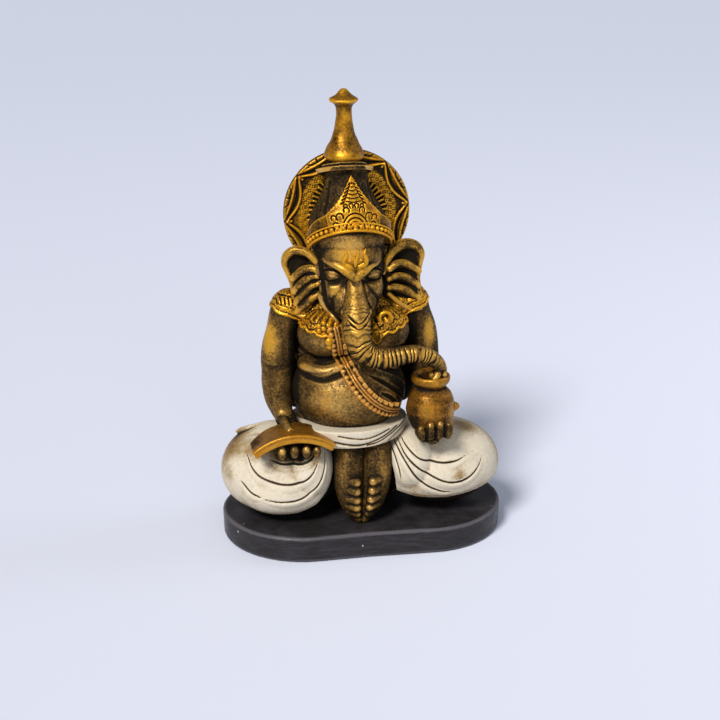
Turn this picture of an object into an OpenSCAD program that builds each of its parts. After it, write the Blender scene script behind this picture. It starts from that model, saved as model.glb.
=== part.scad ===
// Seated elephant-headed devotional figure on a rounded plinth, cast in separate pieces.
// Millimetres, +Z up. The figure faces -Y; its own right hand is on the -X side.
// Each piece of the figure is drawn about the figure's own axis, with z measured from the
// plinth's top, and is then scaled and stood on the plinth by on_plinth().

/* [Plinth] */
// Length of the plinth across the figure
plinth_length = 127; // [110:1:160]
// Depth of the plinth, front to back
plinth_depth = 74; // [68:1:100]
// Height of the plinth casting
plinth_height = 11.8; // [8:0.1:24]
// How far the waist of the outline dips in at front and back
plinth_dip = 1.6; // [0.5:0.1:4]
// Thickness of the felt sheet
felt_thickness = 1; // [0.6:0.1:2]
// How far the felt stands below the plinth's rim
felt_stand = 0.2; // [0.1:0.05:0.4]
// Width of the plinth's rim round the felt
felt_inset = 3; // [2:0.5:6]

/* [Figure] */
// Height of the figure from the plinth's top to the tip of the finial
figure_height = 188; // [150:1:230]
// How far the figure's axis stands from the plinth's centre, along X
figure_shift = -6; // [-8:0.5:8]

/* [Halo] */
// Radius of the halo
halo_radius = 28.2; // [22:0.2:36]
// Thickness of the halo
halo_thickness = 4.5; // [3:0.1:7]

/* [Crown] */
// Number of beads along the front of the crown band
bead_count = 17; // [9:1:21]
// Radius of one bead
bead_radius = 1.1; // [0.7:0.05:1.4]
// Thickness of the crown band
band_thickness = 1.8; // [1.2:0.1:3]

/* [Pot and tray] */
// Largest radius of the pot
pot_radius = 10.7; // [9:0.1:13]
// Thickness of the tray
tray_thickness = 2; // [1.2:0.1:3.5]
// Width of the tray, front to back
tray_width = 18; // [12:0.5:20]

/* [Joints] */
// Radius of the steel dowels
dowel_radius = 1.5; // [1:0.1:2.2]
// Gap between a dowel and the wall of its hole
dowel_gap = 0.1; // [0.05:0.05:0.25]
// Radius of the plinth screws' shanks
screw_radius = 1.75; // [1.2:0.05:2.5]
// Radius of the plinth screws' heads
screw_head_radius = 3.6; // [2.8:0.1:5]
// Height of the plinth screws' heads
screw_head_height = 2.2; // [1.5:0.1:3]
// Length of a screw's shank inside the hips
screw_bite = 12; // [8:1:16]
// Distance between the two plinth screws
screw_spacing = 26; // [18:1:34]
// Gap between a screw and the holes that it passes through
screw_gap = 0.25; // [0.1:0.05:0.5]

/* [Hidden] */

drawn_height = 188;                       // the height at which the figure's rows are drawn
k = figure_height / drawn_height;         // scale of the figure
plinth_top = felt_stand + plinth_height;
lobe_radius = plinth_depth / 2;           // the plinth's two rounded ends
lobe_x = plinth_length / 2 - lobe_radius;
hole_radius = dowel_radius + dowel_gap;
far = 400;                                // larger than the whole object
dark_bronze = [0.20, 0.15, 0.09];
worn_gold = [0.78, 0.55, 0.16];
copper_gold = [0.72, 0.42, 0.10];
cloth_white = [0.86, 0.83, 0.75];
plinth_black = [0.10, 0.10, 0.12];
steel = [0.6, 0.6, 0.62];

// ---------- rows and rings ----------

function unit(v) = v / norm(v);

// The curve through the four rows a, b, c and d, between b and c
function between(a, b, c, d, t) = 0.5 * (2 * b + (c - a) * t + (2 * a - 5 * b + 4 * c - d) * t * t
    + (3 * b - a - 3 * c + d) * t * t * t);

function smooth_rows(rows, steps) = let (last = len(rows) - 1) [
    for (i = [0:last - 1]) for (s = [0:steps - 1])
        between(rows[max(i - 1, 0)], rows[i], rows[i + 1], rows[min(i + 2, last)], s / steps),
    rows[last]
];

function tangent(rows, i) = unit([
    for (c = [0:2]) rows[min(i + 1, len(rows) - 1)][c] - rows[max(i - 1, 0)][c]
]);

// Points round row [x, y, z, a, b]: a is the half width, b the half thickness towards face
function ring(row, along, face, sides) = let (
    side = unit(cross(along, face)), out = unit(cross(side, along))
) [
    for (n = [0:sides - 1]) [row[0], row[1], row[2]]
        + side * row[3] * cos(360 * n / sides) - out * row[4] * sin(360 * n / sides)
];

// One closed solid through a list of rings with the same number of points
module skin(rings) {
    n = len(rings[0]);
    m = len(rings);
    polyhedron(points = [for (r = rings) each r], faces = [
        [for (i = [0:n - 1]) i],
        for (j = [0:m - 2]) for (i = [0:n - 1]) each let (
            low = j * n + i, low_next = j * n + (i + 1) % n
        ) [[low, low + n, low_next + n], [low, low_next + n, low_next]],
        [for (i = [n - 1:-1:0]) (m - 1) * n + i]
    ], convexity = 6);
}

// Limb or strap along rows [x, y, z, half width, half thickness]
module sweep(rows, face = [0, -1, 0], sides = 14, steps = 3) {
    fine = smooth_rows(rows, steps);
    skin([for (i = [0:len(fine) - 1]) ring(fine[i], tangent(fine, i), face, sides)]);
}

// Upright body of level ellipses, rows [z, x, y, half width, half depth]
module stack(rows, grow = 0, sides = 28, steps = 2) {
    fine = smooth_rows(rows, steps);
    skin([for (row = fine) [
        for (n = [0:sides - 1]) [
            row[1] + (row[3] + grow) * cos(360 * n / sides),
            row[2] + (row[4] + grow) * sin(360 * n / sides),
            row[0]
        ]
    ]]);
}

module on_plinth() translate([figure_shift, 0, plinth_top]) scale(k) children();

// Everything below height z, or in front of or behind depth y, in the figure's frame
module below(z) translate([-far / 2, -far / 2, z - far]) cube(far);
module above(z) translate([-far / 2, -far / 2, z]) cube(far);
module behind(y) translate([-far / 2, y, -far / 2]) cube(far);

// ---------- rows of the body forms ----------

torso_rows = [
    [34, 0, 2, 17, 13], [40, 0, -1, 23.5, 19], [48, -1, -3, 25.5, 22.5], [57, -1.5, -3.5, 26, 23.5],
    [65, -1, -3, 25, 22.5], [72, 0, -2, 23, 20], [79, 1, -1, 22, 19], [86, 1.5, -1, 22.5, 18.5],
    [92, 1.5, 0.5, 23.5, 17], [97, 1.5, 2, 22, 14.5], [101, 1, 3, 16.5, 11.5], [104, 0.5, 3.5, 9.5, 8.5],
    [107, 0, 4, 7.5, 7.5]
];
head_rows = [
    [91, 0, -13, 5, 5], [95, 0, -11, 9.5, 9], [100, 0, -8, 12.5, 12.5], [107, 0, -5.5, 15, 15],
    [114, 0, -4, 16, 16.5], [121, 0, -3, 16.2, 17], [128, 0, -2, 15.8, 16.5], [134, 0, -1, 14.5, 15],
    [138, 0, 0, 12, 12.5]
];
dome_rows = [
    [122, 0, -1, 16.5, 16.5], [130, 0, 0, 17.4, 16.8], [134, 0, 1, 16.6, 15.6], [138, 0, 2, 14.2, 13.8],
    [142, 0, 3, 11.7, 11.7], [147, 0, 4, 9.8, 9.8], [152, 0, 5, 9.3, 9.3], [156, 0, 5.5, 9, 9]
];
// The body's back, which closes the gaps between its sides and the arms
flank_rows = [[47, 1, 9, 25, 4], [56, 1.5, 9.5, 28.5, 6], [68, 1.5, 9.5, 29, 6], [80, 1.5, 9, 28, 4.5]];
hip_rows = [
    [0, 2, 14, 30, 15], [6, 2, 14, 33, 18], [16, 1, 13, 33, 20], [26, 0, 11, 30, 19],
    [34, 0, 9, 26, 17], [40, 0, 6, 22, 15]
];
right_leg_rows = [
    [0, -34, 0, 18, 14], [4, -34.5, -1, 22, 20], [10, -34, -3, 24.4, 23.5], [18, -33.5, -3.5, 24.8, 25],
    [26, -33, -2.5, 24.4, 24], [33, -32.5, -1, 22, 20.5], [38, -32, 1, 17, 15.5], [41, -32, 2, 10, 9]
];
left_leg_rows = [
    [0, 45, -2, 20, 14], [4, 43, -3, 24, 20], [10, 41, -4, 26.5, 23.5], [18, 40.5, -4.5, 28, 25],
    [26, 40, -4, 27, 24], [33, 38, -2, 23.5, 20.5], [37, 37, 0, 18, 15.5], [40, 36, 1, 11, 9]
];
right_arm_rows = [
    [-24, 4, 101.5, 2, 2], [-24.5, 4, 99, 6.6, 6.6], [-25.2, 4, 94, 8.8, 8.8], [-27.5, 4, 86, 7.8, 7.8],
    [-30, 4, 77, 6.8, 6.8], [-31.8, 3.5, 68, 6.4, 6.4], [-32.3, 2, 61, 6.3, 6.3], [-32, -2, 54, 5.6, 5.6],
    [-31, -8, 49.5, 4.6, 4.6], [-30, -13, 48, 3.9, 3.9]
];
left_arm_rows = [
    [28, 4, 100.5, 2, 2], [28.4, 4, 98, 6.6, 6.6], [28.7, 4, 93, 8.6, 8.6], [31.5, 4, 85, 7.2, 7.2],
    [34, 4, 77, 6.3, 6.3], [35.3, 3.5, 68, 6.2, 6.2], [36, 1, 59, 6, 6], [36.5, -4, 51, 5.4, 5.4],
    [36, -10, 45, 4.6, 4.6], [34, -16, 42, 4.2, 4.2]
];
trunk_rows = [
    [-1, -17, 110, 5, 5], [-1.2, -20, 104, 5.6, 5.6], [-1.4, -24, 97, 5.4, 5.4], [-1.2, -28, 90, 5.2, 5.2],
    [1.5, -30, 84.5, 5, 5], [7, -30, 80.5, 4.9, 4.9], [14, -29.5, 78.8, 4.5, 4.5], [22, -29, 78.4, 4.1, 4.1],
    [29.5, -28, 76.6, 3.7, 3.7], [34.5, -26, 72.5, 3.3, 3.3], [35.5, -23.5, 68.6, 2.9, 2.9], [32.5, -22, 66, 2.4, 2.4],
    [29.5, -21.5, 67.5, 1.6, 1.6]
];
thread_rows = [
    [-5, -18.6, 88, 2.6, 0.9], [-4.5, -20.4, 80, 2.8, 1], [-3, -22.8, 72, 3, 1], [1, -25.8, 63, 3.1, 1],
    [7, -26.6, 54, 3.1, 1], [14, -24.6, 47, 3, 1], [21, -20.8, 42.5, 2.8, 0.9]
];
halo_centre = [1.7, 13, 132];
finial_axis = [-0.8, 6, 0];
band_tilt = -36;
band_place = [0, -4.25, 121.2];
brim_tilt = -18.5;
brim_place = [-0.7, 5, 152];
pot_back = -9.3;                           // the pot's back stays here, clear of the forearm
pot_centre = [33, pot_back - pot_radius, 39.5];
pot_front = pot_centre[1] - pot_radius;

// ---------- plinth and fixings ----------

// Outline of the plinth: two round ends and a waist that dips in, all moved in by inset
module plinth_outline(inset = 0) {
    for (side = [-1, 1]) translate([side * lobe_x, 0]) circle(r = lobe_radius - inset, $fn = 96);
    square([2 * lobe_x, 2 * (lobe_radius - plinth_dip - inset)], center = true);
}

module at_screws() for (side = [-1, 1]) translate([figure_shift + side * screw_spacing / 2, plinth_depth / 5, 0])
    children();

screw_seat = felt_stand + screw_head_height + felt_thickness;

module plinth() color(plinth_black) difference() {
    translate([0, 0, felt_stand]) linear_extrude(plinth_height) plinth_outline();
    translate([0, 0, -felt_thickness]) linear_extrude(2 * felt_thickness) plinth_outline(felt_inset);
    at_screws() {
        cylinder(r = screw_radius + screw_gap, h = far, center = true, $fn = 32);
        cylinder(r = screw_head_radius + screw_gap, h = screw_seat, $fn = 32);
    }
}

module base_felt() color([0.08, 0.08, 0.08]) linear_extrude(felt_thickness)
    plinth_outline(felt_inset + dowel_gap);

module plinth_screws() color(steel) at_screws() translate([0, 0, screw_seat - screw_head_height]) {
    cylinder(r = screw_head_radius, h = screw_head_height, $fn = 32);
    cylinder(r = screw_radius, h = screw_head_height + plinth_top + screw_bite - screw_seat, $fn = 32);
}

// ---------- steel dowels between the castings ----------

// Each dowel's row: where it starts, which way it runs and how long it is, in the figure's frame
neck_dowel_at = [[0, 3, 96], [0, 0, 1], 18];
halo_dowel_at = [[halo_centre[0], 6, 126], [0, 1, 0], 10];
finial_dowel_at = [[finial_axis[0], finial_axis[1], 144], [0, 0, 1], 20];
right_shoulder_at = [[-28, 4, 93], [1, 0, 0], 14];
left_shoulder_at = [[31, 4, 92], [-1, 0, 0], 14];

// A round rod at a dowel's place, with room of extra length at each end. Its radius is in real millimetres
module rod(at, radius, room = 0) translate([figure_shift, 0, plinth_top] + k * at[0])
    rotate([0, acos(at[1][2]), atan2(at[1][1], at[1][0])])
        translate([0, 0, -room]) cylinder(r = radius, h = k * at[2] + 2 * room, $fn = 24);

module dowel(at) color(steel) rod(at, dowel_radius);
module dowel_hole(at) rod(at, hole_radius, 1);

module neck_dowel() dowel(neck_dowel_at);
module halo_dowel() dowel(halo_dowel_at);
module finial_dowel() dowel(finial_dowel_at);
module shoulder_dowels() {
    dowel(right_shoulder_at);
    dowel(left_shoulder_at);
}

// ---------- clothed lower body ----------

module hips_form() intersection() {
    stack(hip_rows);
    above(0);
}

module hips() color(cloth_white) difference() {
    on_plinth() difference() {
        hips_form();
        stack(torso_rows);
        stack(right_leg_rows);
        stack(left_leg_rows);
    }
    at_screws() translate([0, 0, plinth_top - 1]) cylinder(r = screw_radius + screw_gap, h = screw_bite + 2, $fn = 32);
}

module right_leg() color(cloth_white) on_plinth() difference() {
    stack(right_leg_rows);
    stack(torso_rows);
    tray_slab(0.3);
    sweep(right_palm_rows, face = [0, 0, -1], steps = 2);
    right_fingers();
}

module left_leg() color(cloth_white) on_plinth() difference() {
    stack(left_leg_rows);
    stack(torso_rows);
    left_palm();
}

// The rows of a list whose heights lie from low to high
function rows_within(rows, low, high) = [for (row = rows) if (row[0] >= low && row[0] <= high) row];
waist_rows = rows_within(torso_rows, 34, 57);
chest_rows = rows_within(torso_rows, 79, 107);

waist_thickness = 2;
waist_tilt = -6;                           // the waistband's edges stand lower at the front
waist_top = 43;
waist_foot = 35;
module waistband() color(cloth_white) on_plinth() difference() {
    stack(waist_rows, grow = waist_thickness);
    stack(torso_rows);
    rotate([waist_tilt, 0, 0]) above(waist_top);
    rotate([waist_tilt, 0, 0]) below(waist_foot);
    stack(right_leg_rows);
    stack(left_leg_rows);
    hips_form();
}

right_foot_rows = [
    [-1, -17, 34, 2.6, 3], [-2.4, -19, 29, 5, 5.6], [-3.6, -20.5, 22, 6.2, 6.6], [-3.6, -21, 14, 6.2, 6.6],
    [-2.2, -22, 6, 5, 5.8], [0, -23.5, 0, 2.4, 3.6]
];

// The two feet stand side by side, soles together, on the line x = sole_x
sole_x = 3;
module right_foot() color(dark_bronze) on_plinth() difference() {
    sweep(right_foot_rows, steps = 2);
    translate([sole_x, -far / 2, -far / 2]) cube(far);
    foot_clearance();
}

module left_foot() color(dark_bronze) on_plinth() difference() {
    translate([2 * sole_x, 0, 0]) mirror([1, 0, 0]) sweep(right_foot_rows, steps = 2);
    translate([sole_x - far, -far / 2, -far / 2]) cube(far);
    foot_clearance();
}

module foot_clearance() {
    stack(right_leg_rows);
    stack(left_leg_rows);
    stack(waist_rows, grow = waist_thickness);
    stack(torso_rows);
}

// ---------- body and arms ----------

module torso() color(dark_bronze) difference() {
    on_plinth() union() {
        stack(torso_rows);
        difference() {
            stack(flank_rows);
            sweep(right_arm_rows, face = [0, 1, 0.3]);
            sweep(left_arm_rows, face = [0, 1, 0.3]);
        }
    }
    dowel_hole(neck_dowel_at);
    dowel_hole(right_shoulder_at);
    dowel_hole(left_shoulder_at);
}

module right_arm() color(dark_bronze) difference() {
    on_plinth() difference() {
        sweep(right_arm_rows, face = [0, 1, 0.3]);
        stack(torso_rows);
    }
    dowel_hole(right_shoulder_at);
}

module left_arm() color(dark_bronze) difference() {
    on_plinth() difference() {
        sweep(left_arm_rows, face = [0, 1, 0.3]);
        stack(torso_rows);
        stack(left_leg_rows);
        pot_body();
        left_palm();
    }
    dowel_hole(left_shoulder_at);
}

// A finger along points [x, y, z], with round tips
module finger(points, radius) for (i = [0:len(points) - 2]) hull() {
    translate(points[i]) sphere(r = radius, $fn = 14);
    translate(points[i + 1]) sphere(r = radius, $fn = 14);
}

right_palm_rows = [
    [-29.5, -8, 48, 4, 3.4], [-28.5, -10, 43.5, 6, 3.2], [-26.5, -13, 39.6, 7.6, 2.8], [-25.5, -18, 37.6, 8.6, 2.6],
    [-25.5, -22, 37.4, 8.2, 2.4]
];

// The four fingers that lie on the thigh, under the tray
module right_fingers() for (n = [0:3])
    finger([[-32.4 + 4.6 * n, -20, 37.4], [-34.2 + 5.4 * n, -27.4, 37.4]], 2);

module right_hand() color(dark_bronze) on_plinth() difference() {
    union() {
        right_fingers();
        sweep(right_palm_rows, face = [0, 0, -1], steps = 2);
        finger([[-29.5, -10, 46.5], [-28, -20, 45]], 1.8);
    }
    tray_slab(0.02);
    sweep(right_arm_rows, face = [0, 1, 0.3]);
}

left_palm_rows = [
    [34, -13, 39, 4, 3], [33.5, -17, 36, 6.5, 3], [32.5, -22, 34, 8, 3], [31.5, -27, 34, 7.6, 2.8], [31, -30, 35.5, 6.8, 2]
];
module left_palm() sweep(left_palm_rows, face = [0, 0, -1], steps = 2);

module left_hand() color(dark_bronze) on_plinth() difference() {
    union() {
        left_palm();
        for (n = [0:3]) finger([[24 + 4.1 * n, pot_front + 2.2, 37], [24.4 + 4.1 * n, pot_front - 0.8, 44.5]], 1.9);
    }
    pot_body();
}

// ---------- head ----------

module head_form() stack(head_rows);

module head() color(dark_bronze) difference() {
    on_plinth() difference() {
        head_form();
        stack(torso_rows);
        behind(halo_centre[1]);
    }
    dowel_hole(neck_dowel_at);
    dowel_hole(halo_dowel_at);
}

module trunk() color(dark_bronze) on_plinth() difference() {
    sweep(trunk_rows, face = [0.3, 0.2, 1], steps = 3);
    head_form();
    pot_body();
    stack(torso_rows, grow = 1);
}

// Ear: a thin leaf through its rim points
module ear(points) hull() for (p = points) translate(p) sphere(r = 1.7, $fn = 12);

module right_ear() color(dark_bronze) on_plinth() difference() {
    ear([[-22, 0, 119], [-27.3, 2, 114], [-26, 1, 104], [-22, -3, 92.5], [-15.5, -5, 96], [-14, -4, 117]]);
    head_form();
    stack(torso_rows, grow = collar_thickness);
    sweep(right_arm_rows, face = [0, 1, 0.3]);
}

module left_ear() color(dark_bronze) on_plinth() difference() {
    ear([[25, 0, 120.5], [31.6, 2, 114], [29.8, 1, 104], [28, -3, 91], [15.5, -5, 95.5], [14, -4, 117]]);
    head_form();
    stack(torso_rows, grow = collar_thickness);
    sweep(left_arm_rows, face = [0, 1, 0.3]);
}

// Three-pronged mark: a cup with a middle prong
mark_height = 9;
module forehead_mark() color(worn_gold) on_plinth() difference() {
    translate([-1, -17, 117.5]) rotate([84, 0, 0]) linear_extrude(4) {
        difference() {
            translate([0, mark_height / 2]) circle(d = mark_height * 1.35, $fn = 40);
            translate([0, mark_height / 2 + 1.3]) circle(d = mark_height * 0.86, $fn = 40);
            translate([-mark_height, mark_height * 0.75]) square([2 * mark_height, mark_height]);
        }
        translate([-0.6, 0]) square([1.2, mark_height * 0.8]);
    }
    head_form();
}

// ---------- crown ----------

// Band of the crown: a flared ring, tilted so that its front stands high
band_foot_radius = 17.2;
band_top_radius = 19.8;
band_height = 9;

module band_cone(offset) translate(band_place) rotate([band_tilt, 0, 0])
    cylinder(r1 = band_foot_radius + offset, r2 = band_top_radius + offset, h = band_height, $fn = 64);

module crown_band() color(worn_gold) on_plinth() difference() {
    band_cone(band_thickness / 2);
    band_cone(-band_thickness / 2);
    head_form();
    stack(dome_rows);
    behind(6);
}

// The beads run round the foot of the band, over this angle either side of the front
bead_sweep = 78;
module crown_beads() color(worn_gold) on_plinth() translate(band_place) rotate([band_tilt, 0, 0])
    for (n = [0:bead_count - 1]) rotate([0, 0, -90 + bead_sweep * (2 * n / (bead_count - 1) - 1)])
        translate([band_foot_radius + band_thickness / 2 + bead_radius, 0, bead_radius * 1.2])
            sphere(r = bead_radius, $fn = 16);

module crown_dome() color(dark_bronze) difference() {
    on_plinth() difference() {
        stack(dome_rows);
        head_form();
        behind(halo_centre[1]);
        translate(brim_place) rotate([brim_tilt, 0, 0]) above(0);
    }
    dowel_hole(finial_dowel_at);
}

// Pointed plate on the front of the crown
crest_lean = 29;
module crest() color(worn_gold) on_plinth() difference() {
    translate([-1.3, -17.6, 133]) rotate([90 - crest_lean, 0, 0]) linear_extrude(3) polygon([
        [-11, 0], [11, 0], [10, 4.5], [7.6, 8.5], [4.2, 14.5], [0, 22.5], [-4.2, 14.5], [-7.6, 8.5], [-10, 4.5]
    ]);
    stack(dome_rows);
    band_cone(band_thickness / 2);
    head_form();
}

brim_radius = 12.6;
brim_thickness = 1.8;
module brim_disc() translate(brim_place) rotate([brim_tilt, 0, 0]) cylinder(r = brim_radius, h = brim_thickness, $fn = 64);

module crown_brim() color(dark_bronze) difference() {
    on_plinth() difference() {
        brim_disc();
        behind(halo_centre[1]);
    }
    dowel_hole(finial_dowel_at);
}

finial_profile = [
    [0, 146], [9.2, 146], [9.2, 155], [8, 155.6], [8, 157.4], [8.4, 158], [8.8, 159.2], [8.4, 160.8],
    [7.4, 162.8], [6.1, 165], [5, 167.6], [4.3, 170], [3.7, 173.5], [3.35, 177], [3.4, 179.6], [3.9, 180.8],
    [5, 181.8], [6.3, 182.5], [6.2, 183], [4.6, 184], [3.4, 185.2], [2.2, 186.8], [1, 187.7], [0, 188]
];
module finial() color(worn_gold) difference() {
    on_plinth() difference() {
        translate(finial_axis) rotate_extrude($fn = 64) polygon(finial_profile);
        translate(brim_place) rotate([brim_tilt, 0, 0]) below(brim_thickness);
        intersection() {
            behind(halo_centre[1]);
            below(160);
        }
    }
    dowel_hole(finial_dowel_at);
}

module halo() color(worn_gold) difference() {
    on_plinth() translate(halo_centre) rotate([-90, 0, 0])
        cylinder(r = halo_radius, h = halo_thickness, $fn = 96);
    dowel_hole(halo_dowel_at);
}

// ---------- ornaments on the body ----------

// Collar: a shell over the shoulders, cut off level at its top and sloping at its foot
collar_thickness = 1.2;
module collar() color(worn_gold) on_plinth() difference() {
    stack(chest_rows, grow = collar_thickness);
    stack(torso_rows);
    above(101);
    rotate([10, 0, 0]) below(87);
    sweep(right_arm_rows, face = [0, 1, 0.3]);
    sweep(left_arm_rows, face = [0, 1, 0.3]);
    head_form();
    sweep(thread_rows, steps = 2);
}

// A point on the front of the torso, at height z and x from the axis of that level, lifted by out
function torso_level(z) = [for (row = smooth_rows(torso_rows, 8)) if (row[0] >= z) row][0];
function torso_front(x, z, out) = let (row = torso_level(z), across = (x - row[1]) / row[3])
    [x, row[2] - row[4] * sqrt(1 - across * across) - out, z];

module brooch_at(x, z) translate(torso_front(x, z, collar_thickness)) rotate([90, 0, x]) children();

module flower_brooch() color(worn_gold) on_plinth() brooch_at(-14, 90) {
    cylinder(r = 1.5, h = 1.6, $fn = 24);
    for (n = [0:5]) rotate([0, 0, 60 * n]) translate([2.1, 0, 0.2]) sphere(r = 1.1, $fn = 14);
}

module ring_brooch() color(worn_gold) on_plinth() brooch_at(11, 92) difference() {
    cylinder(r = 3.4, h = 1.6, $fn = 32);
    translate([0, 0, 0.6]) cylinder(r = 1.9, h = 2, $fn = 32);
}

module pendant() color(worn_gold) on_plinth() difference() {
    hull() {
        translate(torso_front(9, 84, 0.4)) sphere(r = 2.6, $fn = 20);
        translate(torso_front(9, 87.5, 0.2)) sphere(r = 1.2, $fn = 20);
    }
    stack(torso_rows, grow = collar_thickness);
}

module sacred_thread() color(worn_gold) on_plinth() difference() {
    sweep(thread_rows, sides = 12, steps = 3);
    stack(torso_rows);
    rotate([waist_tilt, 0, 0]) below(waist_top);
}

thread_bead_count = 14;
module thread_beads() color(worn_gold) on_plinth() {
    fine = smooth_rows(thread_rows, 10);
    for (n = [1:thread_bead_count]) {
        row = fine[n * floor((len(fine) - 1) / (thread_bead_count + 1))];
        translate([row[0] + 1.6, row[1] - row[4] - 0.75, row[2] + 0.8]) sphere(r = 0.9, $fn = 14);
    }
}

// ---------- pot and tray ----------

// Half section of the pot, in shares of its radius across and in millimetres up
pot_profile = [
    [0, 0], [0.5, 0], [0.78, 2.2], [0.94, 6], [1, 11], [0.95, 15.5], [0.8, 19.2], [0.6, 21.5], [0.55, 22.4],
    [0.6, 23.5], [0.74, 25], [0.78, 26.4], [0.74, 27], [0.55, 26.2], [0.3, 24.8], [0, 24.4]
];
module pot_body() translate(pot_centre) rotate_extrude($fn = 64)
    polygon([for (p = pot_profile) [p[0] * pot_radius, p[1]]]);

module pot() color(copper_gold) on_plinth() pot_body();

module pot_knob() color(copper_gold) on_plinth() difference() {
    translate(pot_centre + [pot_radius + 0.6, 0, 11]) sphere(r = 1.9, $fn = 24);
    pot_body();
}

// Tray: a strip of arched sheet, its ends cut on the slant of its chord
tray_arch_radius = 25.1;
tray_centre = [-29.4, -13, 18.1];
tray_chord = 18.6;                         // height of the tray's ends above the arch's centre
tray_lean = -1.5;                          // slope of the line between its ends
module tray_slab(room = 0) translate(tray_centre) rotate([90, 0, 0]) translate([0, 0, -room])
    linear_extrude(tray_width + 2 * room) difference() {
        circle(r = tray_arch_radius + room, $fn = 96);
        circle(r = tray_arch_radius - tray_thickness - room, $fn = 96);
        rotate(tray_lean) translate([-far / 2, tray_chord - far]) square(far);
    }

module tray() color(copper_gold) on_plinth() tray_slab();

plinth();
base_felt();
plinth_screws();
hips();
right_leg();
left_leg();
waistband();
right_foot();
left_foot();
torso();
right_arm();
left_arm();
right_hand();
left_hand();
head();
trunk();
right_ear();
left_ear();
forehead_mark();
crown_band();
crown_beads();
crown_dome();
crest();
crown_brim();
finial();
halo();
collar();
flower_brooch();
ring_brooch();
pendant();
sacred_thread();
thread_beads();
pot();
pot_knob();
tray();
neck_dowel();
halo_dowel();
finial_dowel();
shoulder_dowels();
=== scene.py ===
"""Seated elephant-headed statuette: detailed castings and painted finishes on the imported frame."""

import math

import bmesh
import bpy
import numpy as np
from bpy.props import FloatProperty, FloatVectorProperty, IntProperty, PointerProperty
from mathutils import Euler, Matrix, Vector
from mathutils.bvhtree import BVHTree


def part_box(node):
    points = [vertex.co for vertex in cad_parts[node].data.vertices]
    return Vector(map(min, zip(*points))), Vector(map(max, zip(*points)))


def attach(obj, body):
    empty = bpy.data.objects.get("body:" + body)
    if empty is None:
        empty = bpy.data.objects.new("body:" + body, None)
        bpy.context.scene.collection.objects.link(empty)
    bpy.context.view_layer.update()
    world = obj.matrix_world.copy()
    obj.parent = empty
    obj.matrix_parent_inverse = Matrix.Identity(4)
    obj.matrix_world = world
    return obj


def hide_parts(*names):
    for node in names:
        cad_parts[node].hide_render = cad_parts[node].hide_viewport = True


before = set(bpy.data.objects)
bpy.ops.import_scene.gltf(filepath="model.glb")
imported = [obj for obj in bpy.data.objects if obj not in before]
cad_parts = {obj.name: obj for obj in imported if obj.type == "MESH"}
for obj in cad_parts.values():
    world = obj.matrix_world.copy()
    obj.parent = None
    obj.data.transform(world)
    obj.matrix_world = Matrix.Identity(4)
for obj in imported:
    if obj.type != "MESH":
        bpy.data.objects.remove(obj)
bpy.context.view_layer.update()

bl_info = {
    "name": "Seated Statuette",
    "version": (1, 0, 0),
    "blender": (4, 5, 0),
    "location": "View3D > Sidebar > Statuette",
    "description": "Models a cast and painted seated statuette on its plinth",
    "category": "Object",
}

# Castings are modelled in millimetres about the figure's own axis, with z from the plinth's top
FIGURE_X = -6.0
PLINTH_TOP = 12.0
MM = 0.001
FRONT, BACK = (0, -1, 0), (0, 1, 0)

# ---------------------------------------------------------------- smooth lines


def curve_through(points, steps=8):
    """A smooth line through points of any number of columns, as an array."""
    rows = np.array(points, float)
    if len(rows) < 3:
        t = np.linspace(0, 1, steps + 1)[:, None]
        return rows[0] * (1 - t) + rows[-1] * t
    padded = np.vstack([2 * rows[0] - rows[1], rows, 2 * rows[-1] - rows[-2]])
    line = []
    for i in range(len(rows) - 1):
        a, b, c, d = padded[i:i + 4]
        for s in range(steps):
            t = s / steps
            line.append(0.5 * (2 * b + (c - a) * t + (2 * a - 5 * b + 4 * c - d) * t ** 2
                               + (3 * b - a - 3 * c + d) * t ** 3))
    line.append(rows[-1])
    return np.array(line)


def along(line, gap):
    """The points of a line at equal steps of about gap."""
    lengths = np.r_[0, np.cumsum(np.linalg.norm(np.diff(line[:, :3], axis=0), axis=1))]
    stops = np.linspace(0, lengths[-1], max(2, int(round(lengths[-1] / gap)) + 1))
    return np.stack([np.interp(stops, lengths, line[:, c]) for c in range(line.shape[1])], 1)


def nearest_on(line, points):
    """For each point: its distance to the line, and how far along the line that is."""
    start, step = line[:-1], np.diff(line, axis=0)
    length = np.maximum((step ** 2).sum(1), 1e-12)
    spans = np.r_[0, np.cumsum(np.sqrt(length))]
    best = np.full(len(points), 1e9)
    place = np.zeros(len(points))
    for i in range(len(start)):
        t = np.clip(((points - start[i]) @ step[i]) / length[i], 0, 1)
        d = np.linalg.norm(points - start[i] - t[:, None] * step[i], axis=1)
        closer = d < best
        best[closer] = d[closer]
        place[closer] = spans[i] + t[closer] * math.sqrt(length[i])
    return best, place, spans[-1]


# ---------------------------------------------------------------- clay forms


def ball(bm, centre, radii, turn=(0, 0, 0), detail=3):
    """Adds an egg of clay."""
    radii = (radii,) * 3 if isinstance(radii, (int, float)) else radii
    turned = Euler([math.radians(a) for a in turn])
    place = Matrix.LocRotScale(Vector(centre), turned, Vector(radii))
    bmesh.ops.create_icosphere(bm, subdivisions=detail, radius=1, matrix=place)


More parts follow.
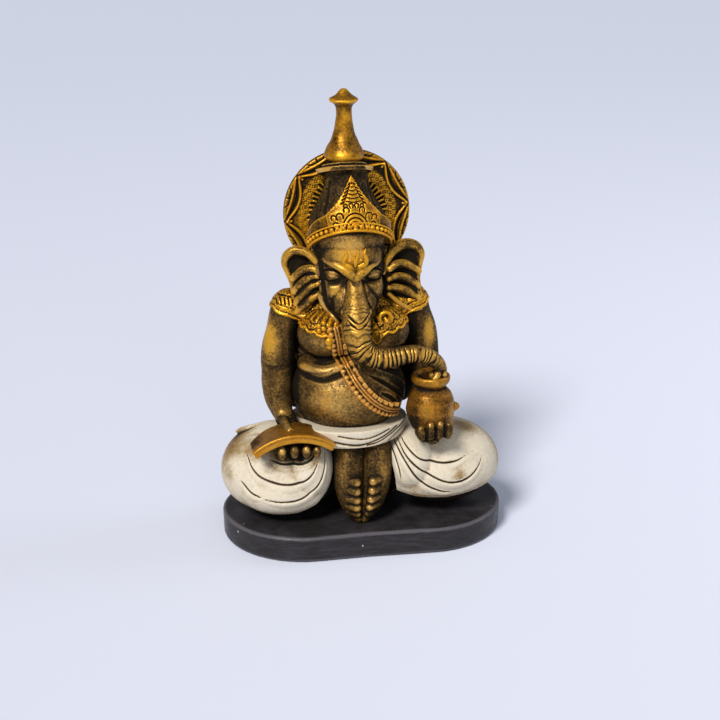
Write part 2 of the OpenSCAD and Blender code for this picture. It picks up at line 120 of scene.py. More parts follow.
def rope(bm, rows, gap=0.3, detail=2):
    """Adds a round roll of clay along rows x, y, z, radius."""
    line = curve_through(rows)
    if line.shape[1] == 3:
        raise ValueError("a rope's rows need a radius")
    middle = float(np.median(line[:, 3]))
    beads = along(line, max(middle * gap, 0.12))
    for start in range(0, len(beads), 12):
        part, mesh = bmesh.new(), bpy.data.meshes.new("part")
        for x, y, z, r in beads[start:start + 12]:
            ball(part, (x, y, z), max(float(r), 0.05), detail=detail)
        part.to_mesh(mesh)
        part.free()
        bm.from_mesh(mesh)
        bpy.data.meshes.remove(mesh)


def block(bm, centre, size, turn=(0, 0, 0)):
    """Adds a brick of clay."""
    turned = Euler([math.radians(a) for a in turn])
    bmesh.ops.create_cube(bm, size=1, matrix=Matrix.LocRotScale(Vector(centre), turned, Vector(size)))


def disc(bm, centre, low_radius, high_radius, height, turn=(0, 0, 0), segments=96):
    """Adds a round slab of clay standing on its centre."""
    turned = Euler([math.radians(a) for a in turn]).to_matrix().to_4x4()
    place = Matrix.Translation(Vector(centre)) @ turned @ Matrix.Translation((0, 0, height / 2))
    bmesh.ops.create_cone(bm, cap_ends=True, segments=segments, radius1=low_radius,
                          radius2=high_radius, depth=height, matrix=place)


def turned_form(bm, profile, centre, segments=96):
    """Adds a form turned on a lathe from its half section of radius and height."""
    points = [bm.verts.new((centre[0] + r, centre[1], centre[2] + z)) for r, z in profile]
    edges = [bm.edges.new(pair) for pair in zip(points, points[1:])]
    bmesh.ops.spin(bm, geom=points + edges, cent=centre, axis=(0, 0, 1), angle=2 * math.pi,
                   steps=segments, use_merge=True, use_duplicate=False)
    bmesh.ops.remove_doubles(bm, verts=bm.verts, dist=0.001)
    bmesh.ops.recalc_face_normals(bm, faces=bm.faces)


def upright(bm, rows, sides=48):
    """Adds a body of level ovals from rows z, x, y, half width, half depth."""
    line = curve_through(rows, 4)
    ring = bmesh.ops.create_circle(bm, cap_ends=True, segments=sides, radius=1)["verts"]
    z, x, y, a, b = line[0]
    for v in ring:
        v.co = (x + v.co.x * a, y + v.co.y * b, z)
    edges = list(dict.fromkeys(e for v in ring for e in v.link_edges))
    for row, before in zip(line[1:], line):
        made = bmesh.ops.extrude_edge_only(bm, edges=edges)["geom"]
        verts = [g for g in made if isinstance(g, bmesh.types.BMVert)]
        fresh = set(verts)
        edges = [g for g in made if isinstance(g, bmesh.types.BMEdge) and set(g.verts) <= fresh]
        for v in verts:
            v.co = (row[1] + (v.co.x - before[1]) * row[3] / before[3],
                    row[2] + (v.co.y - before[2]) * row[4] / before[4], row[0])
    bmesh.ops.holes_fill(bm, edges=edges, sides=0)
    bmesh.ops.recalc_face_normals(bm, faces=bm.faces)


def slice_off(bm, point, normal):
    """Cuts away the clay on the normal's side of a plane and closes the cut."""
    geom = bm.verts[:] + bm.edges[:] + bm.faces[:]
    cut = bmesh.ops.bisect_plane(bm, geom=geom, plane_co=point, plane_no=normal, clear_outer=True)
    edges = [g for g in cut["geom_cut"] if isinstance(g, bmesh.types.BMEdge)]
    if edges:
        bmesh.ops.holes_fill(bm, edges=edges, sides=0)


class Skin:
    """The worked surface of one casting: its points, how they are joined, and its paint masks."""

    def __init__(self, name, bm, voxel, relax=3):
        mesh = bpy.data.meshes.new(name)
        bm.to_mesh(mesh)
        bm.free()
        self.object = bpy.data.objects.new(name, mesh)
        bpy.context.scene.collection.objects.link(self.object)
        if voxel:
            clay = self.object.modifiers.new("Clay", "REMESH")
            clay.mode = "VOXEL"
            clay.voxel_size = voxel
            clay.adaptivity = 0
            shaped = bpy.data.meshes.new_from_object(
                self.object.evaluated_get(bpy.context.evaluated_depsgraph_get()))
            self.object.modifiers.clear()
            self.object.data = shaped
            bpy.data.meshes.remove(mesh)
            shaped.name = name
        self.mesh = self.object.data
        self.voxel = voxel or 0.3
        self.co = np.zeros(len(self.mesh.vertices) * 3)
        self.mesh.vertices.foreach_get("co", self.co)
        self.co = self.co.reshape(-1, 3)
        pairs = np.zeros(len(self.mesh.edges) * 2, np.int32)
        self.mesh.edges.foreach_get("vertices", pairs)
        self.pairs = pairs.reshape(-1, 2)
        self.ends = np.r_[self.pairs[:, 0], self.pairs[:, 1]]
        self.others = np.r_[self.pairs[:, 1], self.pairs[:, 0]]
        self.degree = np.maximum(np.bincount(self.ends, minlength=len(self.co)), 1)
        # rub mask: how far the gold is rubbed on, and also the painted highlights and painted shade laid on
        # as spots
        self.rub_and_painted_light = np.zeros(len(self.co))
        self.gilt = np.zeros(len(self.co))
        self.relax(relax)
        self.renew()

    def mean(self, values):
        """Each point's value averaged over its neighbours."""
        if values.ndim == 1:
            return np.bincount(self.ends, values[self.others], len(self.co)) / self.degree
        return np.stack([self.mean(values[:, c]) for c in range(values.shape[1])], 1)

    def relax(self, times, share=0.6, where=None):
        """Smooths the clay."""
        for _ in range(times):
            pull = (self.mean(self.co) - self.co) * share
            self.co += pull if where is None else pull * where[:, None]

    def renew(self):
        """Works out the normals again from the points."""
        self.mesh.vertices.foreach_set("co", self.co.ravel())
        self.mesh.update()
        normals = np.zeros(len(self.co) * 3, np.float32)
        self.mesh.vertex_normals.foreach_get("vector", normals)
        self.normal = normals.reshape(-1, 3).astype(float)

    def lift(self, amount):
        """Moves each point out along its normal by amount, an array in millimetres."""
        self.co += self.normal * amount[:, None]

    def facing(self, direction, least=0.15, soft=0.25):
        """1 where the surface faces a direction, easing to 0."""
        turn = self.normal @ np.array(direction, float)
        return np.clip((turn - least) / soft, 0, 1)

    def stroke(self, points, width, height, view=FRONT, taper=0.0, flat=0.0, least=0.1, rub_and_painted_light=0.0,
               depth=None):
        """Draws a line that is raised, or cut where height is below 0. Points of two numbers are
        seen along the view, and points of three lie in space."""
        line = along(curve_through(points), max(width * 0.5, 0.4))
        if line.shape[1] == 2:
            seen = self.co[:, [0, 2]] if view in (FRONT, BACK) else (
                self.co[:, [1, 2]] if view[0] else self.co[:, [0, 1]])
            mask = self.facing(view, least)
            if depth is not None:
                mask = mask * (self.co[:, 1] < depth if view == FRONT else self.co[:, 1] > depth)
        else:
            seen, mask = self.co, np.ones(len(self.co))
        low, high = line.min(0) - width, line.max(0) + width
        near = np.flatnonzero(((seen > low) & (seen < high)).all(1) & (mask > 0))
        if not len(near):
            return
        d, place, total = nearest_on(line, seen[near])
        wide = np.full(len(near), float(width))
        if taper:
            ends = np.minimum(place, total - place) / max(total * taper, 1e-6)
            wide = width * np.clip(ends, 0.0, 1) ** 0.5 + 1e-3
        t = np.clip((d / wide - flat) / (1 - flat), 0, 1)
        shape = (1 - t ** 2) ** 2 * mask[near] * (np.clip(wide / width, 0, 1))
        amount = np.zeros(len(self.co))
        amount[near] = shape * height
        self.lift(amount)
        if rub_and_painted_light:
            self.rub_and_painted_light[near] += shape * rub_and_painted_light

    def dab(self, centre, radius, rub_and_painted_light=0.0, height=0.0, gilt=0.0):
        """Paints a soft spot that raises or lowers the rub mask, which gives painted highlights and painted
        shade as well as rubbed gold; yellower where gilt is given, or swells it where height is.
        """
        radii = np.array((radius,) * 3 if isinstance(radius, (int, float)) else radius, float)
        d = np.linalg.norm((self.co - np.array(centre, float)) / radii, axis=1)
        soft = np.clip(1 - d ** 2, 0, 1) ** 2
        self.rub_and_painted_light += soft * rub_and_painted_light
        self.gilt += soft * gilt
        if height:
            self.lift(soft * height)

    def dabs(self, rows):
        """Paints soft spots from rows of centre, radii and rub: mostly painted highlights and painted shade.
        """
        for centre, radii, rub_and_painted_light in rows:
            self.dab(centre, radii, rub_and_painted_light)

    def finish(self, place_as_figure=True):
        """Writes the points and paint masks to the mesh, puts it in place and returns it."""
        self.renew()
        broad = self.co.copy()
        relief = np.zeros(len(self.co))
        passes = 0
        for goal, weight in ((0.7, 1.0), (1.8, 0.6)):
            needed = int(min(max((goal / self.voxel) ** 2, 2), 60))
            for _ in range(needed - passes):
                broad += (self.mean(broad) - broad) * 0.8
            passes = max(passes, needed)
            relief += weight * ((self.co - broad) * self.normal).sum(1) / goal
        for title, values in (("relief", relief), ("rub_and_painted_light", self.rub_and_painted_light), ("gilt", np.clip(self.gilt, 0, 1))):
            layer = self.mesh.attributes.new(title, "FLOAT", "POINT")
            layer.data.foreach_set("value", values.astype(np.float32))
        if place_as_figure:
            self.mesh.transform(Matrix.Translation((FIGURE_X, 0, PLINTH_TOP)))
        self.mesh.transform(Matrix.Scale(MM, 4))
        self.mesh.shade_smooth()
        return self.object


def settle(piece, nodes, material):
    """Hands a finished casting to the frame in place of its CAD nodes."""
    piece.data.materials.clear()
    piece.data.materials.append(material)
    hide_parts(*nodes)
    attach(piece, "root")


def deliver(skin, name, slot, look=None):
    """Finishes a casting of the figure, paints it and hands it over."""
    settle(skin.finish(), [name], paint(look or slot))


# ---------------------------------------------------------------- paint


def node(tree, kind, **settings):
    """A new shader node with the given settings and input values."""
    made = tree.nodes.new(kind)
    for title, value in settings.items():
        if title == "inputs":
            for key, item in value.items():
                made.inputs[key].default_value = item
        else:
            setattr(made, title, value)
    return made


def mixed(tree, factor, first, second, blend="MIX"):
    """A colour mix. Each of factor, first and second is a socket or a value."""
    made = node(tree, "ShaderNodeMix", data_type="RGBA", blend_type=blend, clamp_factor=True)
    for index, item in ((0, factor), (6, first), (7, second)):
        if isinstance(item, bpy.types.NodeSocket):
            tree.links.new(item, made.inputs[index])
        else:
            made.inputs[index].default_value = (*item, 1) if isinstance(item, tuple) else item
    return made.outputs[2]


def sums(tree, kind, first, second=0.0):
    """A sum of the given kind. Each of first and second is a socket or a value."""
    made = node(tree, "ShaderNodeMath", operation=kind)
    for index, item in ((0, first), (1, second)):
        if isinstance(item, bpy.types.NodeSocket):
            tree.links.new(item, made.inputs[index])
        else:
            made.inputs[index].default_value = item
    return made.outputs[0]


def spread(tree, value, low, high, to_low=0.0, to_high=1.0):
    """Eases a value from one range to another."""
    made = node(tree, "ShaderNodeMapRange", interpolation_type="SMOOTHSTEP",
                inputs={"From Min": low, "From Max": high, "To Min": to_low, "To Max": to_high})
    tree.links.new(value, made.inputs["Value"])
    return made.outputs["Result"]


def grain(tree, size_mm, detail=3.0, rough=0.6, distort=0.0):
    """Noise with features of about the given size on the casting."""
    spot = node(tree, "ShaderNodeTexCoord")
    made = node(tree, "ShaderNodeTexNoise",
                inputs={"Scale": 1 / (size_mm * MM), "Detail": detail, "Roughness": rough,
                        "Distortion": distort})
    tree.links.new(spot.outputs["Object"], made.inputs["Vector"])
    return made.outputs["Fac"]


def stirred(tree, level, noise, amount):
    """A level made uneven by noise about its middle."""
    return sums(tree, "ADD", level, sums(tree, "MULTIPLY", sums(tree, "SUBTRACT", noise, 0.5), amount))


def paint_level(tree, gain, bias):
    """How far the paint has been rubbed, with painted light and shade: the relief times gain, plus bias and
    the rub mask.
    """
    level = sums(tree, "MULTIPLY_ADD", attribute(tree, "relief"), gain)
    level.node.inputs[2].default_value = bias
    return sums(tree, "ADD", level, attribute(tree, "rub_and_painted_light"))


def scaled(tone, shares):
    """A colour with each channel multiplied by its share."""
    return tuple(c * share for c, share in zip(tone, shares))


def attribute(tree, title):
    return node(tree, "ShaderNodeAttribute", attribute_name=title).outputs["Fac"]


def start_material(title):
    material = bpy.data.materials.new(title)
    material.use_nodes = True
    shader = material.node_tree.nodes["Principled BSDF"]
    return material, material.node_tree, shader


def bumped(tree, shader, height, strength, depth_mm):
    bump = node(tree, "ShaderNodeBump", inputs={"Strength": strength, "Distance": depth_mm * MM})
    tree.links.new(height, bump.inputs["Height"])
    tree.links.new(bump.outputs["Normal"], shader.inputs["Normal"])


def rubbed_paint(title, dark, middle, bright, bias, gain, metal, gloss=0.3):
    """Dark paint with a brighter one rubbed over what stands proud, made lighter by painted highlights and
    darker by painted shade from the rub mask.
    """
    material, tree, shader = start_material(title)
    link = tree.links.new
    fine, speck, broad = grain(tree, 1.1, 5, 0.7), grain(tree, 0.35, 3, 0.7), grain(tree, 6, 3)
    level = paint_level(tree, 2.2 * gain, bias)
    for noise, amount in ((fine, 1.6), (speck, 1.0), (broad, 1.0)):
        level = stirred(tree, level, noise, amount)
    under = spread(tree, level, -0.15, 0.65)
    over = spread(tree, level, 0.3, 1.3)
    colour = mixed(tree, under, dark, middle)
    warm = mixed(tree, spread(tree, broad, 0.35, 0.65), bright, scaled(bright, (0.86, 0.74, 0.5)))
    colour = mixed(tree, over, colour, warm)
    gilt = sums(tree, "MULTIPLY", attribute(tree, "gilt"), spread(tree, level, 0.2, 0.8))
    colour = mixed(tree, gilt, colour, tuple(settings().finish.bright_gold))
    link(colour, shader.inputs["Base Color"])
    link(sums(tree, "MULTIPLY", under, metal), shader.inputs["Metallic"])
    worn = sums(tree, "ADD", under, speck)
    link(spread(tree, worn, 0.4, 1.6, gloss + 0.22, gloss), shader.inputs["Roughness"])
    link(spread(tree, level, 0.1, 1.0, 0.03, 0.45), shader.inputs["Specular IOR Level"])
    shader.inputs["Specular Tint"].default_value = (1, 0.86, 0.6, 1)
    bumped(tree, shader, sums(tree, "ADD", speck, sums(tree, "MULTIPLY", fine, 0.8)), 0.55, 0.16)
    return material


def washed_paint(title, pale, wash, deep, bias):
    """Pale paint with a brown wash left in its hollows and speckled over its edges, darkened further by
    painted shade from the rub mask.
    """
    material, tree, shader = start_material(title)
    link = tree.links.new
    fine, speck, broad = grain(tree, 1.3, 4), grain(tree, 0.4, 3), grain(tree, 9, 3)
    streak = grain(tree, 2.5, 5, 0.7, 1.2)
    level = paint_level(tree, -3.2, bias)
    for noise, amount in ((fine, 0.8), (speck, 0.7), (broad, 0.8)):
        level = stirred(tree, level, noise, amount)
    tint = spread(tree, level, 0.05, 0.95)
    # darkest where the wash gathers and where the rub mask lays painted shade
    dirt_and_shade = spread(tree, level, 0.85, 1.35)
    base = mixed(tree, spread(tree, streak, 0.35, 0.7), pale, tuple(c * 0.86 for c in pale))
    colour = mixed(tree, tint, base, wash)
    colour = mixed(tree, dirt_and_shade, colour, deep)
    link(colour, shader.inputs["Base Color"])
    link(spread(tree, level, 0, 1, 0.62, 0.5), shader.inputs["Roughness"])
    shader.inputs["Specular IOR Level"].default_value = 0.3
    bumped(tree, shader, speck, 0.4, 0.15)
    return material


def chipped_paint(title, base, sheen, chip):
    """Satin dark paint with brush marks tinted towards a painted sheen, a painted highlight along its edges
    and small pale chips.
    """
    material, tree, shader = start_material(title)
    link = tree.links.new
    spot = node(tree, "ShaderNodeTexCoord")
    stretch = node(tree, "ShaderNodeMapping", inputs={"Scale": (1, 1, 6)})
    link(spot.outputs["Object"], stretch.inputs["Vector"])
    marks = node(tree, "ShaderNodeTexNoise", inputs={"Scale": 120.0, "Detail": 5.0, "Roughness": 0.7})
    link(stretch.outputs["Vector"], marks.inputs["Vector"])
    speck, broad = grain(tree, 0.8, 3), grain(tree, 14, 3)
    # painted highlight: the paint is lightened along the convex edges
    edge = spread(tree, sums(tree, "ADD", attribute(tree, "relief"), sums(tree, "MULTIPLY", speck, 0.12)),
                  0.14, 0.3)
    colour = mixed(tree, spread(tree, marks.outputs["Fac"], 0.35, 0.7), base, sheen)
    colour = mixed(tree, sums(tree, "MULTIPLY", edge, 0.55), colour, tuple(min(1, c * 4) for c in sheen))
    dots = node(tree, "ShaderNodeTexVoronoi", inputs={"Scale": 210.0, "Randomness": 1.0})
    link(spot.outputs["Object"], dots.inputs["Vector"])
    small = spread(tree, dots.outputs["Distance"], 0.06, 0.11, 1, 0)
    few = spread(tree, grain(tree, 9, 1), 0.6, 0.66)
    colour = mixed(tree, sums(tree, "MULTIPLY", sums(tree, "MULTIPLY", small, few),
                              attribute(tree, "rub_and_painted_light")), colour, chip)
    link(colour, shader.inputs["Base Color"])
    uneven = sums(tree, "ADD", sums(tree, "MULTIPLY", speck, 0.4), sums(tree, "MULTIPLY", broad, 0.6))
    link(spread(tree, uneven, 0.35, 0.65, 0.3, 0.5), shader.inputs["Roughness"])
    shader.inputs["Specular IOR Level"].default_value = 0.22
    bumped(tree, shader, marks.outputs["Fac"], 0.25, 0.2)
    return material


def plain_steel(title):
    """Drawn steel rod."""
    material, tree, shader = start_material(title)
    fine = grain(tree, 0.5, 3)
    tree.links.new(mixed(tree, fine, (0.45, 0.45, 0.46), (0.62, 0.62, 0.63)), shader.inputs["Base Color"])
    tree.links.new(spread(tree, fine, 0.2, 0.8, 0.25, 0.45), shader.inputs["Roughness"])
    shader.inputs["Metallic"].default_value = 1.0
    bumped(tree, shader, fine, 0.2, 0.05)
    return material


def pressed_felt(title):
    """Black felt."""
    material, tree, shader = start_material(title)
    fibre, broad = grain(tree, 0.25, 5, 0.7, 1.5), grain(tree, 6, 2)
    black = mixed(tree, fibre, (0.008, 0.008, 0.009), (0.05, 0.05, 0.055))
    tree.links.new(black, shader.inputs["Base Color"])
    tree.links.new(spread(tree, broad, 0.3, 0.7, 0.88, 1.0), shader.inputs["Roughness"])
    shader.inputs["Sheen Weight"].default_value = 0.4
    bumped(tree, shader, fibre, 0.7, 0.3)
    return material


# ---------------------------------------------------------------- settings


def length(title, default, text):
    return FloatProperty(name=title, default=default, min=0.0001, subtype="DISTANCE", unit="LENGTH",
                         description=text)


def colour(title, default, text):
    return FloatVectorProperty(name=title, default=default, size=3, min=0, max=1, subtype="COLOR",
                               description=text)


def count(title, default, text):
    return IntProperty(name=title, default=default, min=1, description=text)


class FinishSettings(bpy.types.PropertyGroup):
    """Colours of the paints."""

    black_bronze: colour("Black bronze", (0.012, 0.009, 0.006), "Undercoat of the skin and ornaments")
    umber: colour("Umber", (0.15, 0.082, 0.022), "Half-rubbed gold over the undercoat")
    gold: colour("Gold", (0.66, 0.40, 0.105), "Gold rubbed on the skin")
    bright_gold: colour("Bright gold", (0.74, 0.37, 0.015), "Gold of the crown, collar and halo")
    copper: colour("Copper gold", (0.54, 0.26, 0.022), "Orange gold of the pot and tray")
    cloth: colour("Cloth white", (0.68, 0.60, 0.46), "Off-white of the cloth")
    wash: colour("Brown wash", (0.27, 0.17, 0.06), "Wash in the folds of the cloth")
    plinth: colour("Plinth black", (0.017, 0.015, 0.015), "Black of the plinth")


class ClaySettings(bpy.types.PropertyGroup):
    """How finely the castings are worked."""

    body_grain: length("Body grain", 0.00045, "Size of the surface cells on the body and cloth")
    head_grain: length("Head grain", 0.00032, "Size of the surface cells on the head and trunk")
    ornament_grain: length("Ornament grain", 0.00028, "Size of the surface cells on ornaments")


class HaloSettings(bpy.types.PropertyGroup):
    """Sizes of the halo."""

    radius: length("Radius", 0.0282, "Radius of the halo")
    thickness: length("Thickness", 0.0045, "Thickness of the halo at its rim")
    panels: count("Panels", 8, "Lens-shaped panels round the rim")


class CrownSettings(bpy.types.PropertyGroup):
    """Sizes of the crown."""

    beads: count("Beads", 21, "Beads along the foot of the crown band")
    bead_radius: length("Bead radius", 0.00095, "Radius of a bead")


class StageSettings(bpy.types.PropertyGroup):
    """Camera and lights."""

    azimuth: FloatProperty(name="Azimuth", default=math.radians(-10), subtype="ANGLE",
                           description="Direction the camera stands in, from the front")
    distance: length("Distance", 0.690, "Level distance from the plinth's centre to the camera")
    height: length("Height", 0.321, "Height of the camera above the floor")
    tilt: FloatProperty(name="Tilt", default=math.radians(18), subtype="ANGLE",
                        description="How far the camera looks down")
    lens: FloatProperty(name="Lens", default=82.25, unit="CAMERA", description="Focal length")
    floor: colour("Floor", (0.72, 0.745, 0.86), "Colour of the floor")


def settings():
    return bpy.context.scene.statuette


class StatuetteSettings(bpy.types.PropertyGroup):
    """All sizes and colours of the statuette."""

    finish: PointerProperty(type=FinishSettings, name="Finish", description="Paint colours")
    clay: PointerProperty(type=ClaySettings, name="Clay", description="Surface fineness")
    halo: PointerProperty(type=HaloSettings, name="Halo", description="Halo sizes")
    crown: PointerProperty(type=CrownSettings, name="Crown", description="Crown sizes")
    stage: PointerProperty(type=StageSettings, name="Stage", description="Camera and lights")


PAINT = {}


def paint(title):
    """One of the statuette's finishes, made once."""
    if title in PAINT:
        return PAINT[title]
    f = settings().finish
    dark, umber, gold = tuple(f.black_bronze), tuple(f.umber), tuple(f.gold)
    # middle colour, bright colour, bias, gain and metal of each rubbed paint
    rubbed = {
        "bronze_skin": (umber, gold, 0.12, 1.5, 0.5),
        "gold_ornament": ((0.23, 0.10, 0.008), tuple(f.bright_gold), 0.3, 1.6, 0.5),
        "dark_crown": (umber, gold, -0.05, 1.5, 0.4),
        "copper_gold": ((0.18, 0.075, 0.01), tuple(f.copper), 0.36, 1.6, 0.45),
        "orange_gold": ((0.22, 0.085, 0.012), (0.66, 0.34, 0.075), 0.3, 1.5, 0.3),
    }
    if title in rubbed:
        PAINT[title] = rubbed_paint(title, dark, *rubbed[title])
    elif title == "white_cloth":
        PAINT[title] = washed_paint(title, tuple(f.cloth), tuple(f.wash), (0.012, 0.008, 0.005), 0.18)
    elif title == "black_plinth":
        PAINT[title] = chipped_paint(title, tuple(f.plinth), (0.034, 0.031, 0.036), (0.6, 0.6, 0.6))
    else:
        PAINT[title] = {"steel": plain_steel, "felt": pressed_felt}[title](title)
    return PAINT[title]


def body_grain():
    return settings().clay.body_grain / MM * 1


def head_grain():
    return settings().clay.head_grain / MM * 1


def ornament_grain():
    return settings().clay.ornament_grain / MM * 1


# ---------------------------------------------------------------- body forms

TORSO_LUMPS = [
    # centre, radii
    ((-0.7, -3.5, 56.5), (25.3, 23.5, 19.5)), ((0, 2, 44), (24, 17, 12)), ((0, 5, 75), (22.5, 12, 27)),
    ((-0.2, -3, 68), (23.4, 17.8, 7.4)), ((1, 2, 87), (22.5, 14, 15)), ((-11, -7, 83.5), (12.8, 11.6, 10.5)),
    ((13, -6.5, 83.5), (12.8, 11.2, 10.5)), ((-19, 4, 92), (9, 8.5, 7)), ((22, 4, 91.5), (9, 8.5, 7)),
    ((0, 4, 99), (9, 8.5, 8)), ((-22.5, 10, 64), (8.5, 5.5, 21)), ((26, 10, 64), (8.5, 5.5, 21)),
]
RIGHT_ARM = [
    (-25.6, 4, 92.4, 8.2), (-27.4, 4, 88, 7.6), (-29.2, 4, 82, 7), (-30.4, 4, 76, 7.5), (-31, 4, 70, 7.8),
    (-31.2, 3.5, 64, 7.4), (-31.5, 2.5, 58.5, 7.3), (-31.6, 0, 53, 6.4), (-31.2, -4.5, 49.6, 5.2),
    (-30.6, -9, 47.6, 4.4),
]
LEFT_ARM = [
    (28.4, 4, 92, 8.2), (30.2, 4, 87, 7.5), (33, 4, 80, 7.2), (34, 4, 73, 7.3), (34.6, 3.5, 67, 7),
    (35.6, 1, 59, 6.6), (36, -4, 51, 5.8), (35.8, -10, 45, 4.9), (34.6, -15, 40.5, 4.4),
]
TRUNK_LINE = [
    (-0.2, -15.5, 110, 2.8), (-0.2, -18, 104, 4.2), (-0.4, -21, 98, 5.8), (-0.6, -24.2, 92.5, 6.2),
    (-0.6, -26.8, 87, 5.7), (1, -28.1, 82, 5.3), (5, -28.6, 78.8, 4.9), (11, -28.6, 77.8, 4.5),
    (17.5, -28.4, 78.4, 4), (24, -28, 78.9, 3.8), (30, -27, 77, 3.6), (34.3, -25.6, 73.4, 3.2),
    (36.3, -24, 70, 2.7), (35.6, -22.8, 67.6, 2.2), (33.2, -22.5, 66.4, 1.9),
]
BAND_PLACE, BAND_TILT = Vector((0, -4.25, 121.2)), math.radians(-36)
BAND_FOOT_RADIUS, BAND_FLARE = 17.2, 2.6 / 9
BRIM_X, BRIM_Y, BRIM_Z = -0.7, 5, 152
BRIM_TILT = 18.5
HALO_FACE = 13
HALO_CENTRE = (1.7, HALO_FACE, 132)
SOLE_X, SOLE_SLOPE = 1.3, 0.07
FINIAL_X, FINIAL_Y = -0.8, 6.0
POT_CENTRE = Vector((33, -20, 39.5))
TRAY_LEAN, TRAY_SPREAD = math.radians(-2.5), math.radians(38.5)
TRAY_CENTRE, TRAY_RADIUS = Vector((-27.8, -13, 16.6)), 27


def torso_clay(bm):
    for centre, radii in TORSO_LUMPS:
        ball(bm, centre, radii, detail=4)


def arm_clay(bm, rows):
    rope(bm, rows, 0.2, 3)


class Drape:
    """Finds places on the finished torso, for what lies on it."""

    def __init__(self, skin):
        polygons = [tuple(p.vertices) for p in skin.mesh.polygons]
        self.tree = BVHTree.FromPolygons([Vector(c) for c in skin.co], polygons)

    def front(self, x, z, out=0.0):
        spot, normal, _, _ = self.tree.ray_cast(Vector((x, -100, z)), Vector((0, 1, 0)))
        if spot is None:
            raise ValueError(f"nothing lies behind {x}, {z}")
        return spot + normal * out, normal

    def line(self, points, out=0.0):
        """A smooth line on the torso's front through points x, z."""
        flat = along(curve_through(points), 0.8)
        return [tuple(self.front(x, z, out)[0]) for x, z in flat]


WORK = {}


class StatuetteStep:
    """Shared frame of the operators that make pieces."""

    bl_options = {"REGISTER", "UNDO"}

    def execute(self, context):
        self.build(context.scene.statuette)
        return {"FINISHED"}


class STATUETTE_OT_plinth(StatuetteStep, bpy.types.Operator):
    """Adds the two-lobed plinth with a painted highlight along its edge, and finishes the felt under it"""

    bl_idname = "statuette.plinth"
    bl_label = "Plinth"

    def build(self, options):
        low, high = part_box("plinth")
        low, high = low / MM, high / MM
        lobe = (high.y - low.y) / 2
        far = high.x - lobe
        bm = bmesh.new()
        for x in (-far, far):
            disc(bm, (x, 0, low.z), lobe - 0.5, lobe, high.z - low.z, segments=128)
        block(bm, (0, 0, (low.z + high.z) / 2), (2 * far, 2 * (lobe - 0.5), high.z - low.z))
        skin = Skin("plinth_cast", bm, 0.75 * (1), 4)
        middle = np.exp(-((skin.co[:, 0] + 2) / 15) ** 2)
        skin.co[:, 1] *= 1 - 0.018 * middle
        top = np.clip((skin.co[:, 2] - high.z + 1.5) / 1.5, 0, 1)
        wave = 0.12 * np.sin(skin.co[:, 0] * 0.21) * np.cos(skin.co[:, 1] * 0.16 + 1)
        skin.co[:, 2] += wave * top - 0.12 * top
        rise = np.clip((skin.co[:, 2] - low.z) / (high.z - low.z), 0, 1)
        skin.rub_and_painted_light += np.where(rise < 0.93, 1.0, 0.25)
        piece = skin.finish(place_as_figure=False)
        settle(piece, ["plinth"], paint("black_plinth"))
        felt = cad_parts["base_felt"]
        felt.data.materials.clear()
        felt.data.materials.append(paint("felt"))


